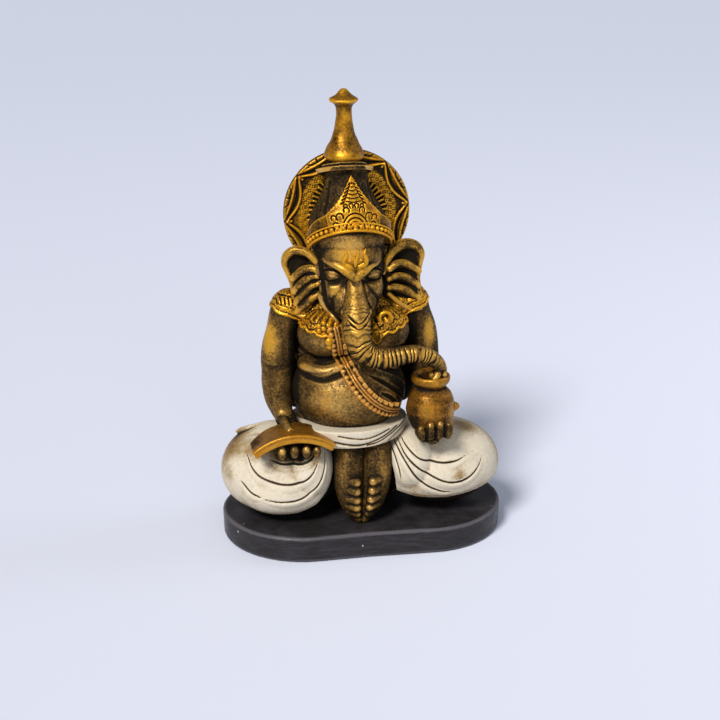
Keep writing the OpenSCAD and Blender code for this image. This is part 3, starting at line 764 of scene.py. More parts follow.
class STATUETTE_OT_cloth(StatuetteStep, bpy.types.Operator):
    """Adds the seat and the two folded legs under their draped cloth, and the waistband"""

    bl_idname = "statuette.cloth"
    bl_label = "Cloth"

    def build(self, options):
        self.seat()
        self.right_leg()
        self.left_leg()
        self.waistband()

    def fold(self, skin, points, width=1.0, depth=1.0, view=FRONT, **more):
        """One engraved fold: a dark groove with a soft swell beside it."""
        skin.renew()
        skin.stroke([(x, z - 1.3) for x, z in points], width * 2.4, depth * 0.45, view, taper=0.3, **more)
        skin.stroke(points, width * 0.62, -depth * 0.75, view, taper=0.22, rub_and_painted_light=1.0, **more)

    def hem(self, skin, line):
        """Turns the cloth under along a line of points x, z: below it the surface is pushed back and painted
        dark as shade under the cloth, and a darker line runs just above it.
        """
        xs, zs = np.array(line, float).T
        low = np.interp(skin.co[:, 0], xs, zs)
        under = np.clip((low - skin.co[:, 2]) / 0.9, 0, 1) * np.clip(0.8 - skin.normal[:, 1], 0, 1)
        skin.lift(-1.5 * np.clip(under, 0, 1))
        # painted shade below the hem
        skin.rub_and_painted_light += 2.4 * under
        skin.rub_and_painted_light += 0.5 * np.exp(-((skin.co[:, 2] - low - 0.6) / 1.1) ** 2)
        skin.renew()

    def seat(self):
        bm = bmesh.new()
        ball(bm, (2, 12, 12), (31, 19.5, 16), detail=4)
        ball(bm, (1, 11, 24), (28, 17, 15), detail=4)
        ball(bm, (0, 7, 36), (25, 15, 7), detail=4)
        slice_off(bm, (0, 0, 0), (0, 0, -1))
        skin = Skin("hips_cast", bm, body_grain() * 1.3, 6)
        for drop in (0, 9, 18):
            self.fold(skin, [(-24 + drop / 3, 30 - drop), (-8, 22 - drop * 0.9), (8, 21 - drop * 0.9),
                             (26 - drop / 3, 29 - drop)], 0.9, 0.8, BACK)
        self.fold(skin, [(-22, 38), (-8, 35.5), (8, 35.5), (22, 38)], 0.9, 0.9, BACK)
        # painted shade: darker low at the back, and the front of the seat, behind the legs, painted dark
        skin.dab((0, 26, 4), (36, 10, 7), 0.6)
        skin.rub_and_painted_light += 3 * np.clip((3 - skin.co[:, 1]) / 4, 0, 1)
        deliver(skin, "hips", "white_cloth")

    def right_leg(self):
        bm = bmesh.new()
        ball(bm, (-33, -1, 19.5), (25, 24.5, 20.5), detail=4)
        ball(bm, (-30, -10, 15.5), (22.5, 18.3, 14), detail=4)
        ball(bm, (-21, -9, 23), (12.3, 19.5, 15.5), detail=4)
        ball(bm, (-20, 4, 28), (13, 17, 11), detail=4)
        rope(bm, [(-50, 4, 35.8, 1), (-46.4, 3, 37.2, 1.4), (-41.6, 3, 37.9, 1.5), (-36, 5, 38.2, 1.4)])
        slice_off(bm, (0, 0, 0), (0, 0, -1))
        skin = Skin("right_leg_cast", bm, body_grain(), 8)
        self.hem(skin, [(-60, 12), (-54.3, 9), (-46.4, 6.5), (-37.8, 5.5), (-26.7, 6.5), (-18.7, 10),
                        (-12.5, 17), (-9, 26)])
        for points, width, depth in (
                ([(-47.6, 32.2), (-46, 27.4), (-41.9, 23.8), (-33.8, 21.7), (-26.1, 22.1), (-20.9, 25.9),
                  (-17.9, 30.7)], 1.1, 1.2),
                ([(-51.1, 21.3), (-47.3, 17), (-42.7, 15.2)], 1, 1),
                ([(-42, 14.8), (-34.1, 13.6), (-25, 15), (-18.4, 20.3), (-15, 27), (-13.9, 33)], 1.1, 1.2),
                ([(-38.3, 31.3), (-32.6, 29.5), (-26.2, 29.9), (-21, 31.8), (-18.6, 34)], 0.9, 0.9),
                ([(-52, 33), (-46, 37), (-38, 39)], 0.8, 0.8)):
            self.fold(skin, points, width, depth)
        # darker patches on the cloth: patina patches, and painted shade under the tray and hand and towards
        # the back
        for x, y, z, r, much in ((-57, -4, 28, 14, 0.5), (-46, -14, 34, 10, 0.7), (-33, -26, 33, 11, 0.75),
                                 (-50, 6, 38, 13, 0.65), (-20, -26, 33, 8, 0.5), (-30, -28, 28, 4, 0.5),
                                 (-48, -20, 12, 9, 0.25), (-28, 20, 30, 14, 0.4),
                                 (-30, -18, 38, 15, 1.2), (-24, -24, 33, 8, 0.8),
                                 (-52, 0, 34, 15, 0.5), (-56, -12, 22, 6, 0.4), (-34, -32, 20, 5, 0.35)):
            skin.dab((x, y, z), r, much)
        deliver(skin, "right_leg", "white_cloth")

    def left_leg(self):
        bm = bmesh.new()
        ball(bm, (41, -2, 18), (27.5, 24.5, 19.8), detail=4)
        ball(bm, (38, -9.5, 17.5), (26, 18.5, 14.5), detail=4)
        ball(bm, (25, -10, 23.5), (12, 18, 14.5), detail=4)
        ball(bm, (24, 4, 27), (13, 17, 11), detail=4)
        slice_off(bm, (0, 0, 0), (0, 0, -1))
        skin = Skin("left_leg_cast", bm, body_grain(), 8)
        self.hem(skin, [(12.5, 45), (13.6, 37), (15.2, 28), (17, 19), (18.2, 12), (26.4, 10), (39.6, 9.4),
                        (54.6, 11), (66, 13)])
        for points, width, depth in (
                ([(19.7, 38), (22.3, 33.6), (27.7, 29.1), (35.6, 26.4), (43.6, 26.2), (48.9, 27.8)], 1, 1.1),
                ([(18.4, 37.4), (21.3, 30.4), (29.1, 23.3), (39.1, 17.9), (47.5, 17.9), (53.8, 21.4),
                  (57, 26)], 1.1, 1.2),
                ([(16.5, 38), (19.1, 30.9), (24.5, 22.2), (29.8, 16.9), (37.1, 13.2), (42, 12.6)], 1.1, 1.2),
                ([(14.7, 37.8), (16.1, 32.1), (17.8, 25.1), (19, 19)], 0.8, 0.8)):
            self.fold(skin, points, width, depth)
        # darker patches on the cloth: patina patches, and painted shade under the pot and hand and towards
        # the back
        for x, y, z, r, much in ((67, -4, 22, 14, 0.55), (45, -26, 19.5, 6, 0.75), (37, -24, 35, 8, 0.8),
                                 (52, -8, 39, 10, 0.85), (60, 8, 30, 12, 0.5), (26, -28, 9, 10, 0.4),
                                 (30, 22, 30, 14, 0.4), (36, -8, 44, 12, 0.9),
                                 (62, 0, 34, 14, 0.45), (22, -28, 16, 7, 0.4), (56, -20, 14, 6, 0.35)):
            skin.dab((x, y, z), r, much)
        deliver(skin, "left_leg", "white_cloth")

    def waistband(self):
        bm = bmesh.new()
        ball(bm, (-1.5, -3.5, 44), (26.8, 24.6, 22), detail=5)
        slice_off(bm, (0, 0, 43), (0, 0.05, 1))
        slice_off(bm, (0, 0, 38.2), (0, 0.08, -1))
        skin = Skin("waistband_cast", bm, ornament_grain() * 1.2, 5)
        skin.renew()
        skin.stroke([(-12, 39.5), (0, 37.6), (10, 39.6), (18, 43)], 1.0, -0.6, rub_and_painted_light=0.7)
        skin.stroke([(-9, 42.4), (3, 40.6), (14, 43)], 0.8, -0.4, rub_and_painted_light=0.5)
        skin.stroke([(4, 37.2), (10, 38.2), (20, 42.4), (26, 43.6)], 0.8, -0.5, rub_and_painted_light=0.6)
        skin.stroke([(14, 37), (19, 40), (24, 41.6)], 0.7, -0.5, rub_and_painted_light=0.6)
        skin.rub_and_painted_light += 0.6 * np.clip((38 - skin.co[:, 2] - 0.06 * (skin.co[:, 1] + 27)) / 1.2, 0, 1)
        deliver(skin, "waistband", "white_cloth")


class STATUETTE_OT_feet(StatuetteStep, bpy.types.Operator):
    """Adds the two feet, pressed together, with their toes"""

    bl_idname = "statuette.feet"
    bl_label = "Feet"

    def build(self, options):
        seam = Vector((1, 0, -SOLE_SLOPE)).normalized()

        def at(z):
            """The x of the seam between the soles at height z."""
            return SOLE_X + z * SOLE_SLOPE

        for side, name in ((-1, "right_foot"), (1, "left_foot")):
            bm = bmesh.new()
            rope(bm, [(at(z) + side * x, y, z, r) for x, y, z, r in (
                (5.6, -13, 36, 6.2), (6.1, -17, 31, 6.6), (6.3, -19.5, 24, 6.7), (6, -20.5, 17, 6.4),
                (4.9, -21.8, 10.5, 5.3), (3, -23.2, 5.6, 3.9), (1.5, -24.6, 2.4, 2.2))], 0.2, 3)
            for x, y, z, r in ((4.1, -26, 20, 2.3), (3.9, -26.6, 15.9, 2.25), (3.5, -27, 11.9, 2.1),
                               (3, -27.1, 8.2, 1.9), (2.4, -26.8, 5.1, 1.5), (1.7, -26, 2.8, 1.2)):
                rope(bm, [(at(z) + side * (x - 0.2), y, z, r),
                          (at(z) + side * (x + 1.2), y + 0.5, z + 0.3, r),
                          (at(z) + side * (x + 3.4), y + 2.4, z + 1, r * 1.1)])
            slice_off(bm, (SOLE_X + side * 0.05, 0, 0), -side * seam)
            slice_off(bm, (0, 0, 0.05), (0, 0, -1))
            skin = Skin(name + "_cast", bm, ornament_grain() * 1.3, 3)
            # painted highlights on the toes and the front of the feet; painted shade on their outer sides
            # against the legs and low down by the plinth
            for z in (19.4, 15.4, 11.4, 8):
                skin.dab((at(z) + side * 3, -28, z + 0.3), (2, 3, 1.7), 0.6)
            skin.rub_and_painted_light -= 0.12
            skin.dab((at(18) + side * 9, -24, 24), (4, 8, 12), 0.5)
            skin.dab((at(18) + side * 13, -14, 18), (6, 10, 20), -0.7)
            skin.dab((at(6) + side * 4, -26, 4), (6, 8, 6), -0.3)
            deliver(skin, name, "bronze_skin")


class STATUETTE_OT_body(StatuetteStep, bpy.types.Operator):
    """Adds the round-bellied torso with its creases"""

    bl_idname = "statuette.body"
    bl_label = "Body"

    def build(self, options):
        bm = bmesh.new()
        torso_clay(bm)
        slice_off(bm, (0, 0, 34.2), (0, 0, -1))
        skin = Skin("torso_cast", bm, body_grain(), 10)
        skin.stroke([(-23.5, 75.6), (-19, 73.2), (-14, 72.4), (-9, 73.6), (-4, 75.5)], 1.7, -0.8, rub_and_painted_light=-0.2)
        skin.renew()
        skin.stroke([(-25, 66.4), (-19, 65.8), (-14, 66.2), (-8, 68.4), (0, 71)], 1.5, -0.8, rub_and_painted_light=-0.2)
        skin.renew()
        skin.stroke([(-23, 69.6), (-15, 69.2), (-8, 71.2)], 2.6, 0.9, rub_and_painted_light=0.3)
        for points in ([(7, 71), (14, 68.5), (21, 64), (25, 58)], [(5, 68), (12, 64), (19, 58), (22, 53)],
                       [(12, 74.5), (18, 73), (24, 69)], [(24, 76), (20, 77.5), (15, 77)],
                       [(10, 60.5), (15, 57), (19, 52)]):
            skin.renew()
            skin.stroke(points, 1.3, -0.9, taper=0.3, rub_and_painted_light=-0.4)
        # painted light and shade: brighter on the upper left of the belly and chest, darker on the far side,
        # under the belly, under the chin and between the arms and the body
        skin.dabs((
                ((-11, -24, 58), (18, 14, 12), 0.75), ((-15, -18, 80), (9, 10, 9), 0.35),
                ((0, -27, 48), (16, 8, 9), 0.25), ((20, -16, 60), (10, 12, 22), -0.4),
                ((-28, -4, 60), (7, 16, 36), -1.0), ((-14, -20, 69.5), (9, 8, 3), 0.15),
                ((16, -20, 74), (8, 8, 5), 0.3), ((0, -24, 41), (32, 12, 6), -1.1),
                ((28, 0, 64), (6, 16, 36), -1.2), ((0, -20, 93), (22, 10, 8), -0.5),
                ((-24, 4, 84), (4, 12, 20), -0.6), ((25, 4, 84), (4, 12, 20), -0.7),
                ((0, 22, 70), (24, 10, 34), -0.05)))
        WORK["drape"] = Drape(skin)
        deliver(skin, "torso", "bronze_skin")


class STATUETTE_OT_arms(StatuetteStep, bpy.types.Operator):
    """Adds the two arms"""

    bl_idname = "statuette.arms"
    bl_label = "Arms"

    def build(self, options):
        bm = bmesh.new()
        arm_clay(bm, RIGHT_ARM)
        skin = Skin("right_arm_cast", bm, body_grain(), 6)
        skin.stroke([(-40, 68.4), (-36, 67.4), (-31, 67.2), (-25, 67.8)], 2.2, -0.3, rub_and_painted_light=0.1)
        # painted highlight on the outer upper arm and painted shade on its inner side against the body
        skin.dabs((((-35, -1, 80), (6, 9, 14), 0.7), ((-36, -3, 59), (6, 9, 10), 0.2),
                   ((-23, -2, 70), (5, 12, 34), -1.3), ((-33, -8, 50), (6, 6, 5), 0.3)))
        skin.dab((-36, 0, 82), (6, 12, 16), gilt=0.8)
        deliver(skin, "right_arm", "bronze_skin")
        bm = bmesh.new()
        arm_clay(bm, LEFT_ARM)
        skin = Skin("left_arm_cast", bm, body_grain(), 6)
        # painted highlight on the outer upper arm, painted shade on its inner side, and the arm painted a
        # little darker overall as shade
        skin.dabs((((36, -3, 80), (4.5, 8, 13), 0.7), ((27, -2, 74), (4.5, 12, 34), -1.3)))
        skin.dab((37, 0, 82), (5, 12, 14), gilt=0.6)
        skin.rub_and_painted_light -= 0.12
        deliver(skin, "left_arm", "bronze_skin")


class STATUETTE_OT_hands(StatuetteStep, bpy.types.Operator):
    """Adds the hand under the tray and the hand that holds the pot"""

    bl_idname = "statuette.hands"
    bl_label = "Hands"

    def nail(self, bm, tip, out):
        """A small ring at a fingertip."""
        tip, out = Vector(tip), Vector(out).normalized()
        across = out.orthogonal().normalized()
        turn = out.cross(across)
        for n in range(10):
            a = 2 * math.pi * n / 10
            ball(bm, tip + (across * math.cos(a) + turn * math.sin(a)) * 1.1, 0.42, detail=1)

    def build(self, options):
        self.right_hand()
        self.left_hand()

    def right_hand(self):
        bm = bmesh.new()
        rope(bm, [(-30.6, -7.4, 48, 4.4), (-29.6, -9.4, 45.4, 4.6), (-28, -11, 41, 4.2),
                  (-27, -15, 37.6, 3.4), (-26.5, -21, 37, 3.2)], 0.2, 3)
        rope(bm, [(-24.6, -10.5, 41, 3.2), (-22, -15, 37.4, 3), (-21.6, -21, 37, 3)], 0.2, 3)
        rope(bm, [(-31.6, -8.6, 48, 2.8), (-31.2, -13.4, 46.4, 2.2), (-30.4, -18.4, 45.4, 1.9),
                  (-29.6, -22.6, 44.9, 1.7)])
        self.nail(bm, (-29.4, -23.8, 45.3), (0, -1, 0.7))
        for x, z, r in ((-33.8, 37.4, 2.15), (-28.4, 37.7, 2.1), (-23.2, 37.5, 2.05), (-18.6, 37, 1.9)):
            rope(bm, [(x * 0.6 - 10, -19, z - 0.8, r), (x, -23, z - 0.4, r), (x, -26, z - 0.2, r * 0.96)])
            ball(bm, (x, -27.6, z - 0.6), (r * 0.95, r, r * 1.45))
        skin = Skin("right_hand_cast", bm, ornament_grain() * 1.2, 3)
        # painted shade under the tray over the whole hand, with painted highlights on the fingertips and the
        # top of the hand
        skin.rub_and_painted_light -= 0.35
        skin.dab((-33.8, -29.6, 38.4), 2.8, 1.0)
        skin.dab((-23, -29.6, 38.2), (8, 2.4, 2), 0.6)
        skin.dab((-30, -20, 47), (5, 9, 4), 0.6)
        for x in (-31.1, -25.8, -20.9):
            skin.stroke([(x, 40.5), (x, 37.5), (x, 34.5)], 0.8, -0.4, rub_and_painted_light=-0.6)
        deliver(skin, "right_hand", "bronze_skin")

    def left_hand(self):
        bm = bmesh.new()
        rope(bm, [(34.5, -14, 42, 4.4), (34, -18, 40.4, 4.2), (33, -23, 39.2, 4), (32.5, -27, 39.4, 3.4)],
             0.2, 3)
        rope(bm, [(29, -20, 39.6, 3), (29, -26, 39.8, 2.9)], 0.2, 3)
        for x, top, r in ((27.2, 45.4, 1.8), (31, 47, 1.9), (34.9, 47.4, 1.9), (38.6, 46.6, 1.8)):
            lean = (x - 33) * 0.05
            rope(bm, [(x, -26.5, 40.4, r), (x, -29.6, 40.9, r), (x + lean, -30.8, 43.2, r),
                      (x + lean * 2, -30.6, top - 1.6, r * 0.95)])
            self.nail(bm, (x + lean * 2, -31, top - 0.3), (0, -0.7, 0.8))
            ball(bm, (x + lean * 2, -30.4, top - 0.6), 1.5)
        skin = Skin("left_hand_cast", bm, ornament_grain() * 1.2, 3)
        # painted shade over the whole hand, with a painted highlight on the tops of the fingertips
        skin.rub_and_painted_light -= 0.45
        skin.dab((33, -33, 47), (9, 3, 2.4), 0.5)
        for x in (29.1, 33, 36.8):
            skin.stroke([(x, 46.5), (x, 43), (x, 39.5)], 0.8, -0.4, rub_and_painted_light=-0.6)
        deliver(skin, "left_hand", "bronze_skin")


class STATUETTE_OT_head(StatuetteStep, bpy.types.Operator):
    """Adds the head with its brow, eyes and cheeks, and the mark on its forehead"""

    bl_idname = "statuette.head"
    bl_label = "Head"

    def build(self, options):
        bm = bmesh.new()
        for centre, radii in (
                ((0, -1, 121.5), (15.8, 16.4, 17)), ((0, -4, 112), (15.2, 13.2, 12.5)),
                ((-6.8, -9.5, 104.8), (7.2, 7.6, 7.8)), ((7, -9.5, 104.8), (7.2, 7.6, 7.8)),
                ((0, -12, 101), (9.4, 9.2, 9.5)), ((0, -15.5, 96), (7.4, 7.4, 7)),
                ((0, -8, 94.5), (8, 7.5, 6)),
                ((0, -11.5, 119.5), (12.5, 7, 11)), ((0, -1, 98), (9, 9, 9)),
                ((-4.8, -15, 99.5), (4.8, 5.6, 6)), ((4.8, -15, 99.5), (4.8, 5.6, 6)),
                ((-8.2, -8.6, 100.5), (6, 7, 7.5)), ((6.8, -8.6, 99.5), (5.6, 7, 7.5)),
                ((-5.4, -11, 94.5), (5, 6, 5)), ((5, -11, 93.8), (5, 6, 5)),
                ((0, -6, 126), (15.2, 12.4, 10))):
            ball(bm, centre, radii, detail=4)
        brows = ([(-12.6, -9.6, 117.4, 0.9), (-10.6, -13.4, 117.2, 1.4), (-6, -17.3, 115.4, 2),
                  (-2.4, -18.6, 113, 2.2), (0, -19, 111.4, 2.4)],
                 [(12.4, -9.6, 116.8, 0.9), (9.6, -13.8, 116.2, 1.4), (4.6, -17.6, 114.2, 2),
                  (1.6, -18.8, 112.6, 2.2), (0, -19, 111.4, 2.4)])
        for rows in brows:
            rope(bm, rows, 0.2, 3)
        rope(bm, [(0, -18.8, 111, 2), (0, -18.4, 106, 2.3), (-0.1, -19.6, 101, 3.2),
                  (-0.3, -21.6, 97.5, 4.4)], 0.2, 3)
        # tusk stubs either side of the trunk's root
        ball(bm, (-4.8, -20.6, 97), (2.1, 2.2, 2.6), (0, 20, 0))
        ball(bm, (4.6, -20.6, 96.6), (2.1, 2.2, 2.6), (0, -20, 0))
        slice_off(bm, (0, 12.6, 0), BACK)
        skin = Skin("head_cast", bm, head_grain(), 5)
        # eye hollows, then the lids
        for side in (-1, 1):
            skin.dab((side * 9 - 0.4, -16, 111), (6.4, 5, 4.6), -0.35, -2.0)
            skin.renew()
        for side, z in ((-1, 111), (1, 110.8)):
            x = side * 9.2 - 0.3
            skin.dab((x, -14.6, z + 0.1), (4.3, 4, 3.2), 1.5, 2.4)
            skin.renew()
            skin.stroke([(x - 4.4, z - 0.5), (x - 1.8, z - 1.9), (x + 1.5, z - 2), (x + 4.4, z - 0.3)], 0.65,
                        -0.7, rub_and_painted_light=-1.1, taper=0.2)
            skin.stroke([(x - 4.4, z + 0.1), (x - 2.5, z + 2.3), (x + 1, z + 2.6), (x + 4.3, z + 0.5)], 0.65,
                        -0.7, rub_and_painted_light=-1.0, taper=0.2)
            skin.renew()
        # lines beside the bridge, and small beads on it
        for side in (-1, 1):
            skin.stroke([(side * 2.6, 111), (side * 3.4, 106), (side * 4.2, 101.5), (side * 6.2, 97.5)], 1.4,
                        -0.5, rub_and_painted_light=-0.3, taper=0.15)
        for rows in brows:
            skin.stroke([row[:3] for row in rows], 2.6, 0.0, rub_and_painted_light=0.7)
        skin.renew()
        for n in range(6):
            skin.stroke([(-2.4, 106.4 - n * 1.7), (0, 105.9 - n * 1.75), (2.4, 106.4 - n * 1.7)], 0.7, 0.45,
                        rub_and_painted_light=0.3, taper=0.2)
        # raised border that runs from the temple to the jaw
        for points in ([(-16, 119.6), (-15.2, 113.6), (-14.6, 104.3), (-13, 97.8), (-9.4, 93.4),
                        (-6.5, 90.5)],
                       [(15.4, 119), (15.4, 112), (15.1, 103), (13.6, 96.4), (10.4, 91.4), (7.4, 89.6)]):
            skin.renew()
            skin.stroke(points, 1.1, 0.9, least=-0.3, rub_and_painted_light=0.6)
            inner = [(x * 0.88, z) for x, z in points]
            skin.stroke(inner, 1.2, -0.5, least=-0.2, rub_and_painted_light=-0.9)
        # painted light and shade: highlights on the forehead, cheeks and bridge; shade under the cheeks,
        # around the eyes, on the temples, on the far side and under the crown band
        skin.dabs((
                ((-8, -17, 105), (5, 5, 4.4), 0.7), ((9.6, -15, 104.5), (4, 5, 4), 0.3),
                ((-3, -18, 122.5), (12, 8, 10), 1.0), ((9, -15, 117), (6, 6, 5), 0.2),
                ((-8, -15, 98.5), (5, 5, 3.4), -0.9), ((8, -14, 98.5), (5, 5, 4), -0.8),
                ((-9, -16, 107.6), (6, 5, 1.8), -0.3), ((-11.4, -13, 112), (3, 6, 7), -0.5),
                ((11.4, -13, 112), (3, 6, 7), -0.5), ((-4, -19, 108), (1.6, 6, 5), -0.5),
                ((14.5, -8, 117), (4, 8, 14), -0.5), ((-15.5, -8, 120), (3.4, 8, 10), -0.7),
                ((0, -21, 104), (2.6, 5, 6), 0.5), ((0, -16, 131), (14, 8, 2.4), -0.4)))
        for centre, radii, much in (((-2, -18, 120), (13, 9, 8), 0.45), ((0, -19, 113.6), (14, 8, 5), 0.7),
                                    ((-8, -17, 105), (5, 5, 4), 0.4), ((0, -20, 102), (3, 6, 9), 0.4)):
            skin.dab(centre, radii, gilt=much)
        WORK["face"] = Drape(skin)
        deliver(skin, "head", "bronze_skin")
        self.mark()

    def mark(self):
        """The raised flame mark with two drops in its cup."""
        face = WORK["face"]
        bm = bmesh.new()

        def raised(points):
            line = along(curve_through([(x, z, r) for x, z, r in points]), 0.3)
            for x, z, r in line:
                spot, _ = face.front(x * 0.9, 119 + (z - 119) * 0.9, 0.2)
                ball(bm, spot, (r * 1.1, 0.9, r * 1.1), detail=2)

        raised([(-4.9, 124, 0.2), (-4.3, 121.6, 0.7), (-5.2, 119, 1), (-4.9, 116.9, 1.15), (-3, 115.4, 1.25),
                (-0.2, 114.8, 1.35), (2.8, 115.4, 1.25), (4.7, 117, 1.15), (5.0, 119.2, 1),
                (4.1, 121.6, 0.7), (4.9, 124, 0.2)])
        raised([(-1.9, 122.6, 0.2), (-1.2, 121, 0.5), (-0.4, 118.8, 0.7), (-0.2, 116, 0.8)])
        raised([(1.5, 123.4, 0.2), (0.9, 121.2, 0.5), (0.2, 118.8, 0.7), (-0.2, 116, 0.8)])
        raised([(-2.6, 118.6, 0.6), (-2.6, 119, 0.75)])
        raised([(2.4, 118.6, 0.6), (2.4, 118.9, 0.75)])
        skin = Skin("forehead_mark_cast", bm, 0.22, 2)
        skin.rub_and_painted_light += 0.15
        deliver(skin, "forehead_mark", "gold_ornament")


class STATUETTE_OT_trunk(StatuetteStep, bpy.types.Operator):
    """Adds the trunk, ringed along its front, curling over to the pot"""

    bl_idname = "statuette.trunk"
    bl_label = "Trunk"

    def build(self, options):
        bm = bmesh.new()
        rope(bm, TRUNK_LINE, 0.15, 3)
        # the tip's two lips, and the loop that it rests in
        rope(bm, [(35.6, -24.2, 70.5, 2.2), (34.4, -26.2, 67.6, 1.6), (33, -27, 66.4, 1.1)])
        rope(bm, [(37.2, -24, 70.4, 2), (37.6, -25.6, 67.8, 1.4)])
        skin = Skin("trunk_cast", bm, head_grain(), 4)
        line = along(curve_through([row[:3] for row in TRUNK_LINE]), 1.0)
        _, place, total = nearest_on(line, skin.co)
        outward = np.clip(-skin.normal[:, 1] * 0.9 + 0.35 - skin.normal[:, 2] * 0.25, 0, 1)
        sideways = np.where(skin.co[:, 2] > 82, skin.co[:, 0] + 0.5, 0)
        uneven = (place + 0.035 * sideways ** 2 + 0.5 * np.sin(place * 0.83)
                  + 0.35 * np.sin(skin.co[:, 0] * 1.1))
        gap = 2.5 - 0.45 * place / total
        cuts = np.exp(-((uneven / gap - np.round(uneven / gap)) / 0.21) ** 2)
        strength = np.clip((place - 9) / 8, 0, 1) * np.clip((total - 9 - place) / 8, 0, 1)
        strength *= 0.75 + 0.25 * np.sin(place * 1.9 + skin.co[:, 2])
        strength *= np.clip((104 - skin.co[:, 2]) / 26, 0.3, 1)
        rings = (0.16 - 0.55 * cuts) * outward * strength
        skin.lift(rings)
        skin.rub_and_painted_light += -0.25 * cuts * outward * strength + 0.3 * outward
        # painted shade on the underside of the curled end and on the side facing the body; painted highlights
        # at the root and on the curl
        skin.rub_and_painted_light -= 0.6 * np.clip(0.2 - skin.normal[:, 2], 0, 1) * np.clip((place - 26) / 6, 0, 1)
        skin.rub_and_painted_light -= 0.35 * np.clip(skin.normal[:, 1] + 0.4, 0, 1)
        skin.gilt += 0.25
        skin.dab((-1, -32, 93), (4, 6, 9), 0.3)
        skin.dab((31, -28, 80), (7, 6, 4), 0.25)
        skin.renew()
        # creases under the mouth
        for drop in range(2):
            skin.stroke([(-5.4, 97.8 - drop * 2.2), (-2.4, 95 - drop * 2.2), (0.4, 94.4 - drop * 2.2),
                         (4.8, 97.2 - drop * 2.2)], 0.7, -0.4, rub_and_painted_light=-0.4, taper=0.2)
        deliver(skin, "trunk", "bronze_skin")


class STATUETTE_OT_ears(StatuetteStep, bpy.types.Operator):
    """Adds the two fan-shaped ears with their rolled rims and ribs"""

    bl_idname = "statuette.ears"
    bl_label = "Ears"

    def ear(self, name, leaf, rims, ribs, root):
        bm = bmesh.new()
        for centre, radii, turn in leaf:
            ball(bm, centre, radii, turn, detail=4)
        for rows in rims:
            rope(bm, rows, 0.25, 2)
        for rows in ribs:
            rope(bm, [(x, y - 0.9, z, r * 1.75) for x, y, z, r in rows], 0.25, 2)
        skin = Skin(name + "_cast", bm, head_grain(), 3)
        cut = skin.facing(FRONT, 0.1, 0.5)
        skin.rub_and_painted_light -= 0.75 * cut
        for rows in ribs:
            skin.stroke([(x, y - 1.6, z + 0.3) for x, y, z, _ in rows], rows[1][3] * 2.3, 0.0, rub_and_painted_light=1.05)
        for rows in rims:
            skin.stroke([(x, y - 0.6, z) for x, y, z, _ in rows], rows[1][3] * 2.1, 0.0, rub_and_painted_light=1.2)
        # painted shade where the ear meets the head
        skin.dab(root, (4, 8, 16), -0.4)
        skin.gilt += 0.45
        deliver(skin, name, "bronze_skin")

    def build(self, options):
        self.ear("right_ear",
                 [((-15.6, -2, 106), (2.6, 4, 13), (0, 0, 0)), ((-20, 1.2, 113), (8, 1.6, 6), (0, 0, 8)),
                  ((-19.4, 0, 103.5), (6.4, 1.7, 12), (0, 0, 10)),
                  ((-19, -1.4, 96), (6, 1.7, 6.5), (0, 0, 10))],
                 [[(-13.5, -5.5, 110, 1.2), (-15, -4.5, 115, 1.6), (-18.6, -3, 118.8, 1.9),
                   (-23.4, -1.4, 119.7, 2.1), (-27, -0.4, 117.4, 2), (-28, 0, 113.6, 1.6),
                   (-27, 0, 110, 1.2), (-25.2, -0.4, 105, 1.1),
                   (-24.3, -1.4, 98, 1.1), (-23.9, -2.8, 92.4, 1.1)],
                  [(-23.9, -2.8, 91.8, 1.1), (-20.5, -4.2, 90.6, 1.1), (-16.4, -5, 92.2, 1.1),
                   (-13, -5, 95, 1)]],
                 [[(-14.6, -5.2, 111.6, 0.8), (-17.6, -3.6, 112, 1.1), (-21.2, -2, 110.6, 1.1),
                   (-24.6, -0.6, 107, 0.9)],
                  [(-14.4, -5.2, 109, 0.8), (-17.4, -3.8, 108.2, 1), (-20.6, -2.4, 105.6, 1.1),
                   (-24.2, -0.8, 101.2, 0.9)],
                  [(-14.2, -5.2, 105.6, 0.8), (-17.2, -4.2, 104, 1), (-20.2, -3, 100.8, 1.1),
                   (-24, -1.6, 95.6, 0.9)],
                  [(-13.8, -5.2, 101, 0.8), (-16.6, -4.6, 99, 1), (-19.6, -3.8, 96, 1.1),
                   (-23.6, -2.6, 92.6, 0.9)]],
                 (-14, -4, 104))
        self.ear("left_ear",
                 [((16, -2, 107), (2.6, 4, 13), (0, 0, 0)), ((23.5, 1.2, 114), (9, 1.6, 6.5), (0, 0, -8)),
                  ((23.4, 0, 103.5), (8, 1.7, 12.5), (0, 0, -10)),
                  ((24.6, -1.4, 96.5), (7, 1.7, 6.5), (0, 0, -10))],
                 [[(14.5, -5.5, 109, 1.2), (16, -4.5, 113.6, 1.7), (19, -3, 118, 2.3),
                   (24.2, -1.2, 120.3, 2.5), (29.4, 0, 119, 2.4), (32.3, 0.6, 115.2, 1.8),
                   (32, 0.4, 110.8, 1.2), (31, 0, 104.6, 1.1),
                   (31.6, -1.2, 97, 1.1), (31.6, -2.4, 91.8, 1.2)],
                  [(31.6, -2.4, 91, 1.2), (27.4, -3.4, 91, 1.2), (21.6, -4.4, 94.6, 1.2), (17, -5, 99, 1.1)]],
                 [[(17, -5, 110.4, 0.8), (20.4, -3.8, 112.2, 1.1), (25, -2, 111.6, 1.1),
                   (31, -0.2, 107.6, 0.9)],
                  [(16.8, -5, 106, 0.8), (20.4, -3.9, 106.8, 1), (25, -2.4, 105.4, 1.1),
                   (30.8, -0.6, 101, 0.9)],
                  [(16.8, -5, 102.2, 0.8), (20.4, -4.2, 101.8, 1), (25.2, -3, 99.6, 1.1),
                   (31, -1.4, 95.4, 0.9)]],
                 (16, -4, 104))


